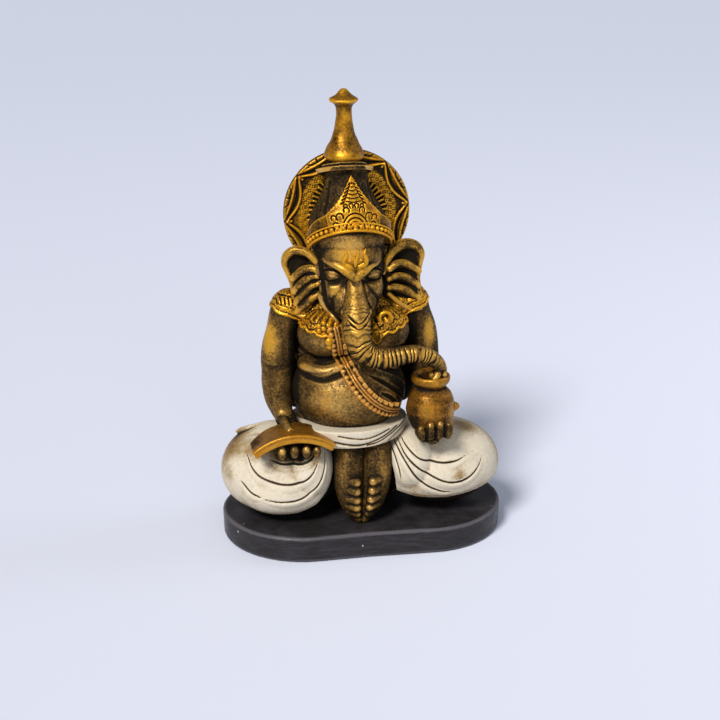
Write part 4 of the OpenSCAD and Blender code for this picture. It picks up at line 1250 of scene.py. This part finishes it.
class STATUETTE_OT_crown(StatuetteStep, bpy.types.Operator):
    """Adds the crown: band, beads, pointed crest, dome, brim and finial"""

    bl_idname = "statuette.crown"
    bl_label = "Crown"

    def on_band(self, angle, up, out=0.0):
        """The point at an angle from the front and a height up the flared band."""
        radius = BAND_FOOT_RADIUS + out + up * BAND_FLARE
        spot = Vector((radius * math.sin(angle), -radius * math.cos(angle), up))
        spot.rotate(Euler((BAND_TILT, 0, 0)))
        return spot + BAND_PLACE

    def build(self, options):
        self.dome()
        self.band(options.crown)
        self.crest()
        self.brim()
        self.finial()

    def dome(self):
        bm = bmesh.new()
        upright(bm, [(120, 0, -1, 16.4, 16.6), (127, 0, 0, 17.4, 16.8), (132, 0, 0.6, 17, 16.2),
                     (136, 0, 1.6, 15.2, 14.8), (140, 0, 2.6, 12.8, 12.6), (145, 0, 3.6, 10.3, 10.4),
                     (150, 0, 4.8, 9.3, 9.3), (155, 0, 5.4, 9, 9)])
        slice_off(bm, (0, HALO_FACE, 0), BACK)
        slice_off(bm, BAND_PLACE + Vector((0, 0, 1.5)), (0, math.sin(BAND_TILT), -math.cos(BAND_TILT)))
        lean = math.radians(BRIM_TILT)
        slice_off(bm, (BRIM_X, BRIM_Y, BRIM_Z + 0.2), (0, math.sin(lean), math.cos(lean)))
        skin = Skin("crown_dome_cast", bm, body_grain(), 3)
        # painted highlight on the dome's upper left front
        skin.dab((-5, -8, 147), (4, 5, 5), 0.5)
        for side in (-1, 1):
            skin.renew()
            skin.stroke([(side * 11.5, 137), (side * 9.4, 143), (side * 8.2, 149)], 0.8, -0.3, rub_and_painted_light=-0.1)
        deliver(skin, "crown_dome", "dark_crown")

    def band(self, sizes):
        reach = math.radians(86)
        bm = bmesh.new()
        bmesh.ops.create_grid(bm, x_segments=90, y_segments=10, size=1)
        for v in bm.verts:
            angle, up = v.co.x * reach, (v.co.y + 1) * 4.5
            fade = 1 - 0.35 * (abs(v.co.x) ** 3)
            v.co = self.on_band(angle, up * fade, -0.4)
        bmesh.ops.recalc_face_normals(bm, faces=bm.faces)
        bmesh.ops.solidify(bm, geom=bm.faces[:], thickness=1.6)
        for up, radius in ((0.2, 0.7), (3.3, 0.5)):
            rope(bm, [(*self.on_band(reach * t, up, 0.6), radius) for t in np.linspace(-1, 1, 25)], 0.4)
        skin = Skin("crown_band_cast", bm, ornament_grain(), 2)
        for n in range(-15, 16):
            angle = n * reach / 16
            if abs(n) > 7:
                cut = [tuple(self.on_band(angle + 0.05 * (n % 2), up, 0.6)) for up in (4.4, 6, 8)]
                skin.stroke(cut, 0.6, -0.5, rub_and_painted_light=-0.6)
        for n in range(-4, 5):
            if abs(n) > 1:
                middle = n * 0.19
                loop = [tuple(self.on_band(middle + 0.07 * math.cos(t), 5.8 + 1.3 * math.sin(t), 0.6))
                        for t in np.linspace(-0.6, 3.8, 8)]
                skin.stroke(loop, 0.5, -0.5, rub_and_painted_light=-0.6)
        deliver(skin, "crown_band", "gold_ornament")
        beads = bmesh.new()
        radius = sizes.bead_radius / MM
        sweep_angle = math.radians(80)
        for n in range(sizes.beads):
            angle = sweep_angle * (2 * n / (sizes.beads - 1) - 1)
            ball(beads, self.on_band(angle, 1.75, 0.75), radius, detail=2)
        beads = Skin("crown_beads_cast", beads, 0, 0)
        beads.rub_and_painted_light += 0.25
        deliver(beads, "crown_beads", "gold_ornament")

    def crest(self):
        """The pointed plate: a thick sheet that leans back against the dome, worked with scrolls."""
        outline = [(0, 17), (2.2, 12.9), (4.3, 9), (6.4, 6), (7.6, 4.4), (9.6, 2.8), (11.5, 0.8)]
        widths = np.array([p[0] for p in outline])
        tops = np.array([p[1] for p in outline])
        bm = bmesh.new()
        bmesh.ops.create_grid(bm, x_segments=80, y_segments=40, size=1)
        for v in bm.verts:
            across = v.co.x * 11.5
            tall = float(np.interp(abs(across), widths, tops)) + 7.4
            if abs(across) > 1 and tall > 9:
                tall += 0.45 * math.cos(abs(across) * 6.0)
            up = (v.co.y + 1) / 2 * tall
            angle = across / 18.4
            base = self.on_band(angle, min(up, 8.2), 0.9)
            if up > 8.2:
                over = up - 8.2
                edge = self.on_band(angle, 8.2, 0.9)
                base = edge + Vector((-across * 0.012 * over, 0.56 * over, 0.83 * over))
            v.co = base
        bmesh.ops.recalc_face_normals(bm, faces=bm.faces)
        bmesh.ops.solidify(bm, geom=bm.faces[:], thickness=1.7)
        skin = Skin("crest_cast", bm, ornament_grain(), 2)
        skin.renew()

        def arc(x, z, radius, start, end, width=0.5, height=-0.7, tall=1.0):
            angles = np.radians(np.linspace(start, end, 7))
            skin.stroke([(x + radius * math.cos(a), z + radius * tall * math.sin(a)) for a in angles], width,
                        height, least=-0.1, rub_and_painted_light=-0.5)

        for radius in (1.6, 2.9, 4.2, 5.6):
            arc(0.2, 131.8, radius, -5, 185, 0.45, tall=1.25)
        skin.dab((0.2, -22, 132.2), (1.3, 8, 1.3), 0.4, 0.6)
        for side in (-1, 1):
            for x, z, radius, start, end in ((8, 133.6, 1.3, -60, 230), (6.3, 137.2, 1.5, -50, 200),
                                             (3.4, 140, 1.2, -30, 210),
                                             (1.2, 141.8, 0.9, -60, 230), (8.8, 136.6, 1.1, -40, 200),
                                             (9.8, 132, 1.0, -40, 200), (3.6, 141.6, 0.8, -40, 200)):
                first, last = (start, end) if side > 0 else (180 - start, 180 - end)
                arc(side * x, z, radius, first, last, 0.42, -0.6)
            skin.stroke([(side * 4.4, 142.6), (side * 2.4, 146.4), (side * 0.8, 150)], 0.5, -0.5, rub_and_painted_light=-0.4)
            for n in range(6):
                z = 142.4 + n * 1.4
                x = 4.4 - n * 0.66
                skin.stroke([(side * (x - 0.4), z + 0.8), (side * (x + 1.0), z)], 0.45, -0.8, rub_and_painted_light=-0.6)
                skin.stroke([(0, z + 0.6), (side * (x - 1.2), z + 1)], 0.35, -0.4, rub_and_painted_light=-0.4)
        skin.rub_and_painted_light += 0.1
        deliver(skin, "crest", "gold_ornament")

    def brim(self):
        bm = bmesh.new()
        tilt = (-BRIM_TILT, 0, 0)
        disc(bm, (BRIM_X, BRIM_Y, BRIM_Z - 0.5), 11.9, 12.6, 2.0, tilt)
        disc(bm, (BRIM_X, BRIM_Y + 0.6, BRIM_Z + 1.2), 9.2, 9.8, 1.9, tilt)
        slice_off(bm, (0, HALO_FACE, 0), BACK)
        skin = Skin("crown_brim_cast", bm, ornament_grain(), 3)
        across = np.linalg.norm(skin.co[:, :2] - np.array((BRIM_X, BRIM_Y)), axis=1)
        rise = skin.co[:, 2] - BRIM_Z + (skin.co[:, 1] - BRIM_Y) * math.tan(math.radians(BRIM_TILT))
        upper = np.clip((rise - 2.2) / 0.6, 0, 1) * np.clip((across - 8.8) / 0.8, 0, 1)
        skin.rub_and_painted_light += np.where(across > 11.6, 1.0, -0.1) + 0.5 * upper
        # painted shade on the brim's underside
        skin.rub_and_painted_light -= 0.9 * np.clip(-skin.normal[:, 2] - 0.5, 0, 1)
        deliver(skin, "crown_brim", "dark_crown")

    def finial(self):
        bm = bmesh.new()
        turned_form(bm, [(0, 154.5), (7.6, 154.5), (7.6, 157.2), (8.2, 157.8), (8.7, 159), (8.5, 160.4),
                         (7.5, 162.6), (6.2, 165), (5.1, 167.6), (4.3, 170.4), (3.75, 173.5), (3.4, 177),
                         (3.4, 179.4),
                         (3.8, 180.8), (5, 181.8), (6.3, 182.7), (6.3, 183.5), (5.2, 184.2), (3.9, 184.9),
                         (2.8, 185.9), (2, 187), (1.2, 187.8), (0, 188)], (FINIAL_X, FINIAL_Y, 0))
        skin = Skin("finial_cast", bm, ornament_grain() * 1.3, 3)
        for n in range(28):
            angle = 2 * math.pi * n / 28
            x, y = FINIAL_X + 7.7 * math.sin(angle), FINIAL_Y - 7.7 * math.cos(angle)
            skin.stroke([(x, y, 155), (x, y, 157.2)], 0.6, -0.6, rub_and_painted_light=-0.8)
        skin.renew()
        # painted shade on the foot under the bell's overhang
        skin.rub_and_painted_light -= 0.9 * np.clip((158 - skin.co[:, 2]) / 1.0, 0, 1)
        skin.rub_and_painted_light += 0.1
        # painted highlights on the front left of the bell and at the neck, painted shade down both sides
        skin.dab((FINIAL_X - 2, -3, 160.5), (6, 5, 2.6), 0.6)
        skin.dab((FINIAL_X, 0, 176), (4, 6, 5), 0.3)
        skin.dab((FINIAL_X + 4, 0, 168), (5, 6, 10), -0.3)
        skin.dab((FINIAL_X - 5, 0, 167), (2.5, 6, 9), -0.3)
        skin.lift(0.12 * np.sin(skin.co[:, 2] * 0.9) * np.sin(skin.co[:, 0] * 0.8 + 1))
        deliver(skin, "finial", "gold_ornament")


class STATUETTE_OT_halo(StatuetteStep, bpy.types.Operator):
    """Adds the halo, worked with lens panels, a pebbled field and rays"""

    bl_idname = "statuette.halo"
    bl_label = "Halo"

    def build(self, options):
        sizes = options.halo
        radius, thick = sizes.radius / MM, sizes.thickness / MM
        x0, y0, z0 = HALO_CENTRE
        bm = bmesh.new()
        disc(bm, HALO_CENTRE, radius - 0.35, radius, thick * 0.45, (-90, 0, 0), 160)
        disc(bm, (x0, y0 + thick * 0.45, z0), radius, radius - 0.9, thick * 0.55, (-90, 0, 0), 160)
        skin = Skin("halo_cast", bm, ornament_grain() * 1.25, 3)
        for n in range(sizes.panels):
            start = 2 * math.pi * (n + 0.155) / sizes.panels
            step = 2 * math.pi / sizes.panels

            def at(share, r, start=start, step=step):
                a = start + step * share
                return (x0 + r * math.cos(a), z0 + r * math.sin(a))

            inner = [at(0, radius - 0.4), at(0.25, radius * 0.87), at(0.5, radius * 0.83),
                     at(0.75, radius * 0.87), at(1, radius - 0.4)]
            second = [at(0.02, radius * 0.955), at(0.25, radius * 0.815), at(0.5, radius * 0.775),
                      at(0.75, radius * 0.815), at(0.98, radius * 0.955)]
            rib = [at(0.14, radius * 0.955), at(0.5, radius * 0.9), at(0.86, radius * 0.955)]
            for view in (FRONT, BACK):
                skin.stroke(inner, 0.75, -0.8, view, rub_and_painted_light=-0.5)
                skin.stroke(second, 0.9, 0.75, view, rub_and_painted_light=0.35)
                skin.stroke(rib, 0.9, 0.6, view, taper=0.25, rub_and_painted_light=0.3)
                skin.stroke([at(0, radius * 0.97), at(0, radius * 0.86)], 1.0, 0.6, view, taper=0.2, rub_and_painted_light=0.3)
                for share in (0.3, 0.5, 0.7):
                    skin.stroke([at(share, radius * 0.985), at(share * 0.6 + 0.2, radius * 0.93)], 0.45, -0.4,
                                view, rub_and_painted_light=-0.3)
        skin.renew()
        around = np.arctan2(skin.co[:, 2] - z0, skin.co[:, 0] - x0)
        out = np.hypot(skin.co[:, 0] - x0, skin.co[:, 2] - z0)
        flat = np.maximum(skin.facing(FRONT, 0.4), skin.facing(BACK, 0.4))
        wavy = radius * 0.62 + 0.8 * np.sin(around * 13) * np.sin(around * 7 + 1)
        inside = np.clip((wavy - out) / 0.8, 0, 1) * flat
        field = np.clip((radius * 0.79 - out) / 1.0, 0, 1) * flat * (1 - inside)
        pebbles = (np.sin(skin.co[:, 0] * 3.7 + np.sin(skin.co[:, 2] * 1.7) * 2.2)
                   * np.sin(skin.co[:, 2] * 3.9 + np.sin(skin.co[:, 0] * 2.1) * 2.4))
        skin.lift(0.26 * pebbles * field)
        skin.rub_and_painted_light += 0.25 * field * pebbles
        rays = np.sin(around * 48 + 0.5 * np.sin(out * 0.6))
        skin.lift(inside * (-0.1 + 0.45 * rays) * np.clip((out - 10) / 3, 0, 1))
        skin.rub_and_painted_light += inside * (0.6 * rays - 0.1)
        skin.rub_and_painted_light += 0.75 * field - 0.25
        # painted highlight on the halo's lower left, painted shade on its upper right
        skin.dab((x0 - 19, 12, z0 - 8), (11, 8, 16), 0.5)
        skin.dab((x0 + 16, 12, z0 + 8), (14, 8, 20), -0.2)
        deliver(skin, "halo", "gold_ornament")


class STATUETTE_OT_collar(StatuetteStep, bpy.types.Operator):
    """Adds the scalloped collar over the shoulders, its two brooches and the pendant"""

    bl_idname = "statuette.collar"
    bl_label = "Collar"

    def build(self, options):
        bm = bmesh.new()
        torso_clay(bm)
        arm_clay(bm, RIGHT_ARM[:4])
        arm_clay(bm, LEFT_ARM[:4])
        slice_off(bm, (0, 0, 79), (0, 0, -1))
        slice_off(bm, (0, 0, 103), (0, 0, 1))
        skin = Skin("collar_cast", bm, ornament_grain() * 1.15, 9)
        x, y, z = skin.co.T
        around = np.arctan2(x - 1, -(y - 4))
        low = 83.4 + 0.0088 * (x - 1) ** 2 + 1.4 * np.clip((y - 4) / 10, 0, 1)
        scallop = np.abs(np.sin(around * 17))
        low = low - 1.1 * scallop
        cover = np.clip((z - low) / 0.35, 0, 1) * np.clip((102.2 - z) / 0.4, 0, 1)
        skin.lift(-2.2 + cover * 2.75)
        skin.renew()
        above = z - low
        hem = np.exp(-((above - 1.0) / 0.5) ** 2)
        skin.lift(0.35 * hem * cover)
        line = np.exp(-((above - 2.1) / 0.4) ** 2)
        skin.lift(-0.2 * line * cover)
        skin.rub_and_painted_light += (0.2 * hem - 0.2 * line) * cover
        rays = np.sin(around * 55)
        upper = np.exp(-((above - 7.2) / 1.8) ** 2) * cover * np.clip((x + 24) / 3, 0, 1)
        skin.lift(0.22 * rays * upper)
        skin.rub_and_painted_light += 0.12 * rays * upper
        ring = np.exp(-((above - 4.9) / 0.4) ** 2) * cover
        skin.lift(-0.22 * ring)
        skin.rub_and_painted_light -= 0.15 * ring
        pebbles = np.sin(x * 3.3 + np.sin(z * 2.3) * 1.5) * np.sin(z * 3.1 + np.sin(x * 1.9) * 1.5)
        skin.lift(0.12 * pebbles * cover)
        skin.renew()
        skin.rub_and_painted_light += 0.1
        for n in range(5):
            skin.stroke([(-32 + n * 1.7, 98.6), (-31.8 + n * 1.7, 95.8)], 0.5, -0.4, rub_and_painted_light=-0.6)
        skin.stroke([(-33, 98.8), (-28, 99.4), (-23, 98)], 0.5, -0.4, rub_and_painted_light=-0.6)
        # painted light and shade: brighter on the shoulder caps and chest, darker under the chin, under the
        # trunk and by the neck
        skin.dabs((((-30, 0, 93), (7, 12, 6), 0.5), ((33, 0, 93), (7, 12, 8), 0.3),
                   ((-18, -16, 90), (7, 8, 8), -0.15), ((22, -10, 88), (7, 8, 5), 0.35),
                   ((8, -14, 92), (8, 8, 9), -0.4), ((-24, -6, 97), (4, 8, 6), -0.5),
                   ((0, -12, 100), (12, 9, 8), -0.6)))
        deliver(skin, "collar", "gold_ornament")
        self.small_pieces()

    def piece(self, bm, name, rub_and_painted_light=0.1):
        skin = Skin(name + "_cast", bm, 0.24, 2)
        skin.rub_and_painted_light += rub_and_painted_light
        deliver(skin, name, "gold_ornament")

    def small_pieces(self):
        drape = WORK["drape"]
        bm = bmesh.new()
        spot, _ = drape.front(-13.6, 88.4, 1.3)
        ball(bm, spot, (1.4, 1.2, 1.4))
        for n in range(6):
            a = math.radians(60 * n + 30)
            ball(bm, spot + Vector((2.3 * math.cos(a), 0.1, 2.3 * math.sin(a))), (1.15, 0.9, 1.15))
        for n in range(2):
            spot, _ = drape.front(-11.6, 83.4 - n * 1.9, 1.0)
            ball(bm, spot, (1.9 - n * 0.7, 1.2, 1.9 - n * 0.3))
        self.piece(bm, "flower_brooch")
        bm = bmesh.new()
        middle, _ = drape.front(13.4, 90.6, 1.2)
        for n in range(28):
            a = 2 * math.pi * n / 28
            swell = 0.9 + 0.5 * max(0, math.sin(a + 2.4))
            spot = middle + Vector((2.4 * math.cos(a), 0, 2.6 * math.sin(a)))
            ball(bm, spot, (swell, 0.9, swell), detail=2)
        self.piece(bm, "ring_brooch")
        bm = bmesh.new()
        for x, z, radii in ((9.8, 84, (2.5, 1.3, 3.2)), (9, 87.6, (1.2, 1, 1.2))):
            spot, _ = drape.front(x, z, 0.8)
            ball(bm, spot, radii, (0, 20, 0))
        skin_points = [(8.9, 86.2), (8.6, 83.6), (9.6, 81.6), (11, 83.2), (11, 86)]
        rope(bm, [(*drape.front(x, z, 1.7)[0], 0.4) for x, z in skin_points], 0.5)
        self.piece(bm, "pendant", -0.1)


class STATUETTE_OT_thread(StatuetteStep, bpy.types.Operator):
    """Adds the sacred thread: a scalloped strip, two cords and a row of beads, laid over the belly"""

    bl_idname = "statuette.thread"
    bl_label = "Sacred thread"

    MIDDLE = [(-8.8, 88.5), (-8, 84), (-6.6, 77.3), (-3.8, 70.6), (0.4, 63.6), (5.8, 57.6),
              (12.4, 52.8), (19, 49.6)]

    def beside(self, offset):
        """The thread's line moved sideways by offset, in millimetres, as points x, z."""
        line = along(curve_through(self.MIDDLE), 0.6)
        direction = np.gradient(line, axis=0)
        direction /= np.linalg.norm(direction, axis=1)[:, None]
        return line + np.stack([-direction[:, 1], direction[:, 0]], 1) * offset

    def build(self, options):
        drape = WORK["drape"]

        def on_torso(points, out):
            return [drape.front(x, z, out)[0] for x, z in points]

        bm = bmesh.new()
        for offset, radius, out in ((-2.6, 0.8, 0.3), (-1.3, 0.8, 0.2), (0, 0.8, 0.2), (1.3, 0.8, 0.2),
                                    (2.5, 0.8, 0.2)):
            rope(bm, [(*p, radius) for p in on_torso(self.beside(offset)[::3], out)], 0.5)
        for offset in (-0.55, 0.6):
            rope(bm, [(*p, 0.48) for p in on_torso(self.beside(offset)[::2], 1.15)], 0.5)
        scallops = along(self.beside(-2.3), 2.2)
        for spot in on_torso(scallops, 0.75):
            ball(bm, spot, (1.25, 0.9, 1.25), detail=2)
        skin = Skin("sacred_thread_cast", bm, ornament_grain(), 2)
        skin.rub_and_painted_light += 0.15
        deliver(skin, "sacred_thread", "gold_ornament", "orange_gold")
        bm = bmesh.new()
        line = along(self.beside(2.3), 1.0)
        spots = on_torso(line, 0.9)
        n = 8
        while n < len(spots) - 3:
            direction = (spots[n + 1] - spots[n - 1]).normalized()
            lean = math.degrees(math.atan2(direction.z, direction.x))
            if n % 3:
                middle = (spots[n] + spots[n + 1]) / 2
                block(bm, middle, (2.5, 1.3, 1.7), (0, -lean, 0))
                n += 3
            else:
                ball(bm, spots[n], (1.0, 0.9, 1.0), detail=2)
                n += 2
        skin = Skin("thread_beads_cast", bm, ornament_grain() * 0.9, 2)
        skin.rub_and_painted_light += 0.1
        deliver(skin, "thread_beads", "gold_ornament", "orange_gold")


class STATUETTE_OT_vessels(StatuetteStep, bpy.types.Operator):
    """Adds the round pot with its knob, and the arched tray"""

    bl_idname = "statuette.vessels"
    bl_label = "Pot and tray"

    def build(self, options):
        self.pot()
        self.tray()

    def pot(self):
        x, y, z = POT_CENTRE
        bm = bmesh.new()
        turned_form(bm, [(0, 0), (5, 0), (8, 2), (9.9, 5.6), (10.7, 10.6), (10.2, 15), (8.8, 18.4), (7, 20.4),
                         (6.4, 21.4), (6.8, 22.2), (8.1, 23.2), (8.7, 24.4), (8.7, 25.8), (8.2, 26.7),
                         (7.4, 26.9),
                         (6.4, 26.3), (5.2, 25), (3, 24.2), (0, 24)], tuple(POT_CENTRE))
        skin = Skin("pot_cast", bm, ornament_grain() * 1.3, 3)
        skin.lift(0.25 * np.sin(skin.co[:, 0] * 0.5) * np.sin(skin.co[:, 2] * 0.45 + 1))
        # painted highlights on the front and right of the belly and on the shoulder; painted shade low on the
        # pot, on its left side, in the neck and under the trunk's tip
        spots = (((x - 4, y - 9, z + 13), (6, 6, 5), 0.5), ((x + 8, y - 6, z + 11), (4, 6, 6), 0.45),
                 ((x, y - 10, z + 21), (9, 5, 2.4), 0.3), ((x, y - 10, z + 3), (14, 10, 6), -0.7),
                 ((x - 9, y - 4, z + 6), (5, 10, 12), -0.6), ((x, y, z + 21.2), (8, 9, 1.6), -0.9),
                 ((x + 2, y - 10, z + 8), (6, 6, 6), -0.25), ((x - 9.5, y, z + 22.6), (3, 6, 2), -0.5),
                 ((x, y, z + 25), (6, 6, 2), -0.1))
        skin.dabs(spots)
        deliver(skin, "pot", "copper_gold")
        bm = bmesh.new()
        ball(bm, (x + 11.2, y, z + 11), (1.9, 1.8, 1.8))
        ball(bm, (x + 10.6, y, z + 11), (1.2, 2.3, 2.3))
        skin = Skin("pot_knob_cast", bm, 0.24, 3)
        skin.stroke([(x + 12.2, z + 9.4), (x + 12.6, z + 11), (x + 12.2, z + 12.6)], 0.4, -0.2)
        deliver(skin, "pot_knob", "copper_gold")

    def tray(self):
        """A palm-leaf tray: an arched strip with a raised front lip."""
        centre, radius = TRAY_CENTRE, TRAY_RADIUS
        bm = bmesh.new()
        bmesh.ops.create_grid(bm, x_segments=70, y_segments=24, size=1)
        for v in bm.verts:
            angle = TRAY_LEAN + v.co.x * TRAY_SPREAD
            deep = (v.co.y + 1) / 2
            narrow = 1 - 0.25 * abs(v.co.x) ** 3 * (1 - deep)
            r = radius - 0.4 + 0.4 * deep ** 2
            v.co = (centre.x + r * math.sin(angle), centre.y - 18 * (1 - narrow * (1 - deep)),
                    centre.z + r * math.cos(angle) - 0.4 * (1 - deep))
        bmesh.ops.recalc_face_normals(bm, faces=bm.faces)
        bmesh.ops.solidify(bm, geom=bm.faces[:], thickness=2.3)
        lip = []
        for t in np.linspace(-1, 1, 31):
            angle = TRAY_LEAN + t * TRAY_SPREAD * 0.98
            lip.append((centre.x + (radius - 0.5) * math.sin(angle), centre.y - 17.2,
                        centre.z + (radius - 0.6) * math.cos(angle), 1.1 - 0.25 * abs(t)))
        rope(bm, lip, 0.4)
        skin = Skin("tray_cast", bm, ornament_grain() * 1.2, 3)
        skin.stroke([(x, y - 0.6, z + 0.6) for x, y, z, _ in lip], 1.3, 0.0, rub_and_painted_light=0.9)
        # painted light: surfaces facing upwards painted lighter
        skin.rub_and_painted_light += 0.25 * np.clip(skin.normal[:, 2] + 0.6, 0, 1)
        for n in range(9):
            angle = TRAY_LEAN + TRAY_SPREAD * (n - 4) / 4.8
            skin.stroke([(centre.x + radius * 0.97 * math.sin(angle), centre.y - 3,
                          centre.z + radius * 0.99 * math.cos(angle) - 1),
                         (centre.x + radius * math.sin(angle), centre.y - 15,
                          centre.z + radius * math.cos(angle))],
                        0.9, -0.22, taper=0.2, rub_and_painted_light=-0.15)
        # painted shade at the tray's left end and round the hand, painted highlight on its right front
        skin.dab((-43, -20, 37), (8, 12, 7), -1.0)
        skin.dab((-27, -15, 43), (11, 7, 4), -0.5)
        skin.dab((-18, -22, 41), (8, 9, 5), 0.35)
        deliver(skin, "tray", "copper_gold")


class STATUETTE_OT_fixings(StatuetteStep, bpy.types.Operator):
    """Finishes the steel dowels and screws that hold the castings together"""

    bl_idname = "statuette.fixings"
    bl_label = "Fixings"

    def build(self, options):
        for name in ("plinth_screws", "neck_dowel", "halo_dowel", "finial_dowel", "shoulder_dowels"):
            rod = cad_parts[name]
            rod.data.materials.clear()
            rod.data.materials.append(paint("steel"))


class STATUETTE_OT_stage(StatuetteStep, bpy.types.Operator):
    """Adds the pale floor, the soft lights and the camera"""

    bl_idname = "statuette.stage"
    bl_label = "Stage"

    def light(self, name, place, size, power, tint=(1, 1, 1), aim=(0, 0, 0.08)):
        data = bpy.data.lights.new(name, "AREA")
        data.shape, data.size, data.energy, data.color = "DISK", size, power, tint
        lamp = bpy.data.objects.new(name, data)
        lamp.location = place
        lamp.rotation_euler = (Vector(aim) - Vector(place)).to_track_quat("-Z", "Y").to_euler()
        bpy.context.scene.collection.objects.link(lamp)

    def build(self, options):
        stage = options.stage
        bm = bmesh.new()
        bmesh.ops.create_circle(bm, cap_ends=True, segments=64, radius=6)
        mesh = bpy.data.meshes.new("floor")
        bm.to_mesh(mesh)
        bm.free()
        floor = bpy.data.objects.new("floor", mesh)
        bpy.context.scene.collection.objects.link(floor)
        material, tree, shader = start_material("floor")
        tone = tuple(stage.floor)
        place = node(tree, "ShaderNodeSeparateXYZ")
        tree.links.new(node(tree, "ShaderNodeTexCoord").outputs["Object"], place.inputs["Vector"])
        # painted shade: the floor is painted darker further back, where the light would fall off
        away = spread(tree, place.outputs["Y"], -0.4, 1.6)
        tree.links.new(mixed(tree, away, tone, scaled(tone, (0.90, 0.93, 0.97))), shader.inputs["Base Color"])
        shader.inputs["Roughness"].default_value = 0.9
        shader.inputs["Specular IOR Level"].default_value = 0.1
        mesh.materials.append(material)

        world = bpy.data.worlds.new("studio")
        bpy.context.scene.world = world
        world.use_nodes = True
        back = world.node_tree.nodes["Background"]
        back.inputs["Color"].default_value = (0.80, 0.84, 0.95, 1)
        back.inputs["Strength"].default_value = 0.27
        sun = bpy.data.lights.new("key", "SUN")
        sun.energy, sun.angle, sun.color = 3.3, math.radians(17), (1, 0.97, 0.92)
        key = bpy.data.objects.new("key", sun)
        key.rotation_euler = Vector((-0.65, -0.85, 1.05)).to_track_quat("Z", "Y").to_euler()
        bpy.context.scene.collection.objects.link(key)
        self.light("front", (0.15, -1.4, 0.6), 0.8, 2.6, (1, 1, 1))
        self.light("side", (0.8, 0.0, 0.5), 0.4, 1.5, (0.85, 0.92, 1))

        data = bpy.data.cameras.new("camera")
        data.lens, data.sensor_width = stage.lens, 36
        data.shift_x, data.shift_y = -0.0028, -0.0518
        data.clip_end = 50
        camera = bpy.data.objects.new("camera", data)
        a = stage.azimuth
        camera.location = (math.sin(a) * stage.distance, -math.cos(a) * stage.distance, stage.height)
        camera.rotation_euler = (math.pi / 2 - stage.tilt, 0, a)
        bpy.context.scene.collection.objects.link(camera)
        bpy.context.scene.camera = camera
        bpy.context.scene.view_settings.view_transform = "Standard"


STEPS = (STATUETTE_OT_plinth, STATUETTE_OT_cloth, STATUETTE_OT_feet, STATUETTE_OT_body, STATUETTE_OT_arms,
         STATUETTE_OT_hands, STATUETTE_OT_head, STATUETTE_OT_trunk, STATUETTE_OT_ears, STATUETTE_OT_crown,
         STATUETTE_OT_halo, STATUETTE_OT_collar, STATUETTE_OT_thread, STATUETTE_OT_vessels,
         STATUETTE_OT_fixings, STATUETTE_OT_stage)
GROUPS = (FinishSettings, ClaySettings, HaloSettings, CrownSettings, StageSettings, StatuetteSettings)


class STATUETTE_PT_panel(bpy.types.Panel):
    """Sizes, colours and steps of the statuette"""

    bl_label = "Statuette"
    bl_idname = "STATUETTE_PT_panel"
    bl_space_type = "VIEW_3D"
    bl_region_type = "UI"
    bl_category = "Statuette"

    def draw(self, context):
        options = context.scene.statuette
        for group in (options.finish, options.clay, options.halo, options.crown, options.stage):
            box = self.layout.box()
            box.label(text=group.bl_rna.name)
            for title in group.bl_rna.properties.keys():
                if title not in ("rna_type", "name"):
                    box.prop(group, title)
        for step in STEPS:
            self.layout.operator(step.bl_idname)


def register():
    for cls in GROUPS + STEPS + (STATUETTE_PT_panel,):
        bpy.utils.register_class(cls)
    bpy.types.Scene.statuette = PointerProperty(type=StatuetteSettings)


def unregister():
    del bpy.types.Scene.statuette
    for cls in reversed(GROUPS + STEPS + (STATUETTE_PT_panel,)):
        bpy.utils.unregister_class(cls)


def main():
    register()
    for step in STEPS:
        category, name = step.bl_idname.split(".")
        getattr(getattr(bpy.ops, category), name)()


if __name__ == "__main__":
    main()
